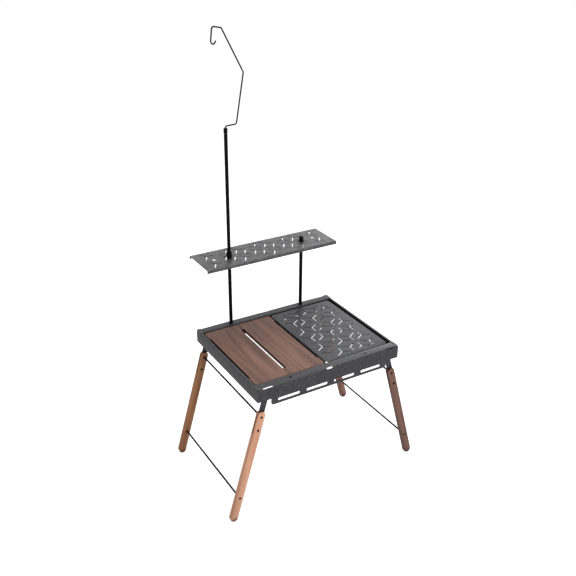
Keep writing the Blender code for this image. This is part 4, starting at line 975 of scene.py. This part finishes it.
class TABLE_OT_stage(bpy.types.Operator):
    """White floor, soft light and camera."""
    bl_idname = "table.stage"
    bl_label = "Stage"

    def execute(self, context):
        self.floor(context.scene.studio_settings.glow)
        self.lamps(context.scene)
        self.world(context.scene)
        self.camera(context.scene)
        context.scene.view_settings.view_transform = "Standard"
        return {"FINISHED"}

    def floor(self, glow):
        """Floor that looks white to the camera and keeps a faint shadow."""
        far = FLOOR_REACH
        corners = np.array([[(-far, -far, 0), (far, -far, 0)], [(-far, far, 0), (far, far, 0)]], float)
        plane = grid_piece("studio_floor", corners, across_closed=False, caps=False)
        material, tree, shader = new_finish("studio_floor_paint", (0.8, 0.8, 0.8), roughness=0.9,
                                            metallic=0.0)
        shader.inputs["Specular IOR Level"].default_value = 0.0
        light_path = tree.nodes.new("ShaderNodeLightPath")
        bright = node(tree, "ShaderNodeMath")
        bright.operation = "MULTIPLY"
        bright.inputs[1].default_value = glow
        tree.links.new(light_path.outputs["Is Camera Ray"], bright.inputs[0])
        shader.inputs["Emission Color"].default_value = (1, 1, 1, 1)
        tree.links.new(bright.outputs[0], shader.inputs["Emission Strength"])
        plane.data.materials.append(material)

    def lamps(self, scene):
        """Large soft lamps, from above, from the front and from the back right."""
        for name, place, aim, size, power in LAMPS:
            lamp = bpy.data.lights.new(name, "AREA")
            lamp.shape = "SQUARE"
            lamp.size = size
            lamp.energy = power
            item = bpy.data.objects.new(name, lamp)
            item.location = place
            item.rotation_euler = (Vector(aim) - Vector(place)).to_track_quat("-Z", "Y").to_euler()
            scene.collection.objects.link(item)

    def world(self, scene):
        """Plain light for the object, white where the camera and reflections see it."""
        world = bpy.data.worlds.new("studio_world")
        world.use_nodes = True
        tree = world.node_tree
        back = tree.nodes["Background"]
        light_path = tree.nodes.new("ShaderNodeLightPath")
        seen = node(tree, "ShaderNodeMath")
        seen.operation = "MAXIMUM"
        tree.links.new(light_path.outputs["Is Camera Ray"], seen.inputs[0])
        tree.links.new(light_path.outputs["Is Glossy Ray"], seen.inputs[1])
        strength = node(tree, "ShaderNodeMapRange")
        strength.inputs["To Min"].default_value = scene.studio_settings.fill
        strength.inputs["To Max"].default_value = 1.0
        tree.links.new(seen.outputs[0], strength.inputs["Value"])
        back.inputs["Color"].default_value = (1, 1, 1, 1)
        tree.links.new(strength.outputs["Result"], back.inputs["Strength"])
        scene.world = world

    def camera(self, scene):
        """Camera that looks along its heading and tilt, turned by its roll."""
        settings = scene.studio_settings
        turn, tilt, roll = settings.turn, settings.tilt, settings.roll
        ahead = Vector((sin(-turn) * cos(tilt), cos(-turn) * cos(tilt), -sin(tilt)))
        level = Vector((cos(-turn), -sin(-turn), 0))
        upright = level.cross(ahead)
        right = cos(roll) * level + sin(roll) * upright
        up = -sin(roll) * level + cos(roll) * upright
        lens = bpy.data.cameras.new("photo_camera")
        lens.sensor_width = 36
        lens.lens = settings.lens
        camera = bpy.data.objects.new("photo_camera", lens)
        camera.matrix_world = Matrix((right, up, -ahead)).transposed().to_4x4()
        camera.location = Vector(settings.eye) + Vector((0, TABLE_MIDDLE_Y, 0))
        scene.collection.objects.link(camera)
        scene.camera = camera


class TABLE_PT_panel(bpy.types.Panel):
    """Sidebar panel that lists the pieces and their settings."""
    bl_label = "Camping table"
    bl_idname = "TABLE_PT_panel"
    bl_space_type = "VIEW_3D"
    bl_region_type = "UI"
    bl_category = "Camping table"

    def draw(self, context):
        layout = self.layout
        for operator in OPERATORS:
            layout.operator(operator.bl_idname)
        for label, settings in GROUPS:
            box = layout.box()
            box.label(text=label.replace("_", " ").capitalize())
            for prop in settings.__annotations__:
                box.prop(getattr(context.scene, label), prop)


OPERATORS = (TABLE_OT_steel_frame, TABLE_OT_steel_top, TABLE_OT_wood_top, TABLE_OT_legs,
             TABLE_OT_leg_hardware, TABLE_OT_frame_hardware, TABLE_OT_shelf, TABLE_OT_posts,
             TABLE_OT_lamp_hook, TABLE_OT_stage)
GROUPS = (("table_colours", TableColours), ("leg_sizes", LegSizes), ("edge_sizes", EdgeSizes),
          ("hardware_sizes", HardwareSizes), ("pole_sizes", PoleSizes),
          ("studio_settings", StudioSettings))


def register():
    """Register the settings, operators and panel."""
    for label, settings in GROUPS:
        bpy.utils.register_class(settings)
        setattr(bpy.types.Scene, label, bpy.props.PointerProperty(type=settings))
    for item in (*OPERATORS, TABLE_PT_panel):
        bpy.utils.register_class(item)


def unregister():
    """Remove what register added."""
    for item in reversed((*OPERATORS, TABLE_PT_panel)):
        bpy.utils.unregister_class(item)
    for label, settings in reversed(GROUPS):
        delattr(bpy.types.Scene, label)
        bpy.utils.unregister_class(settings)


def main():
    """Build the table and its stage."""
    register()
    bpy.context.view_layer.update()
    for operator in OPERATORS:
        group, action = operator.bl_idname.split(".")
        getattr(getattr(bpy.ops, group), action)()


if __name__ == "__main__":
    main()
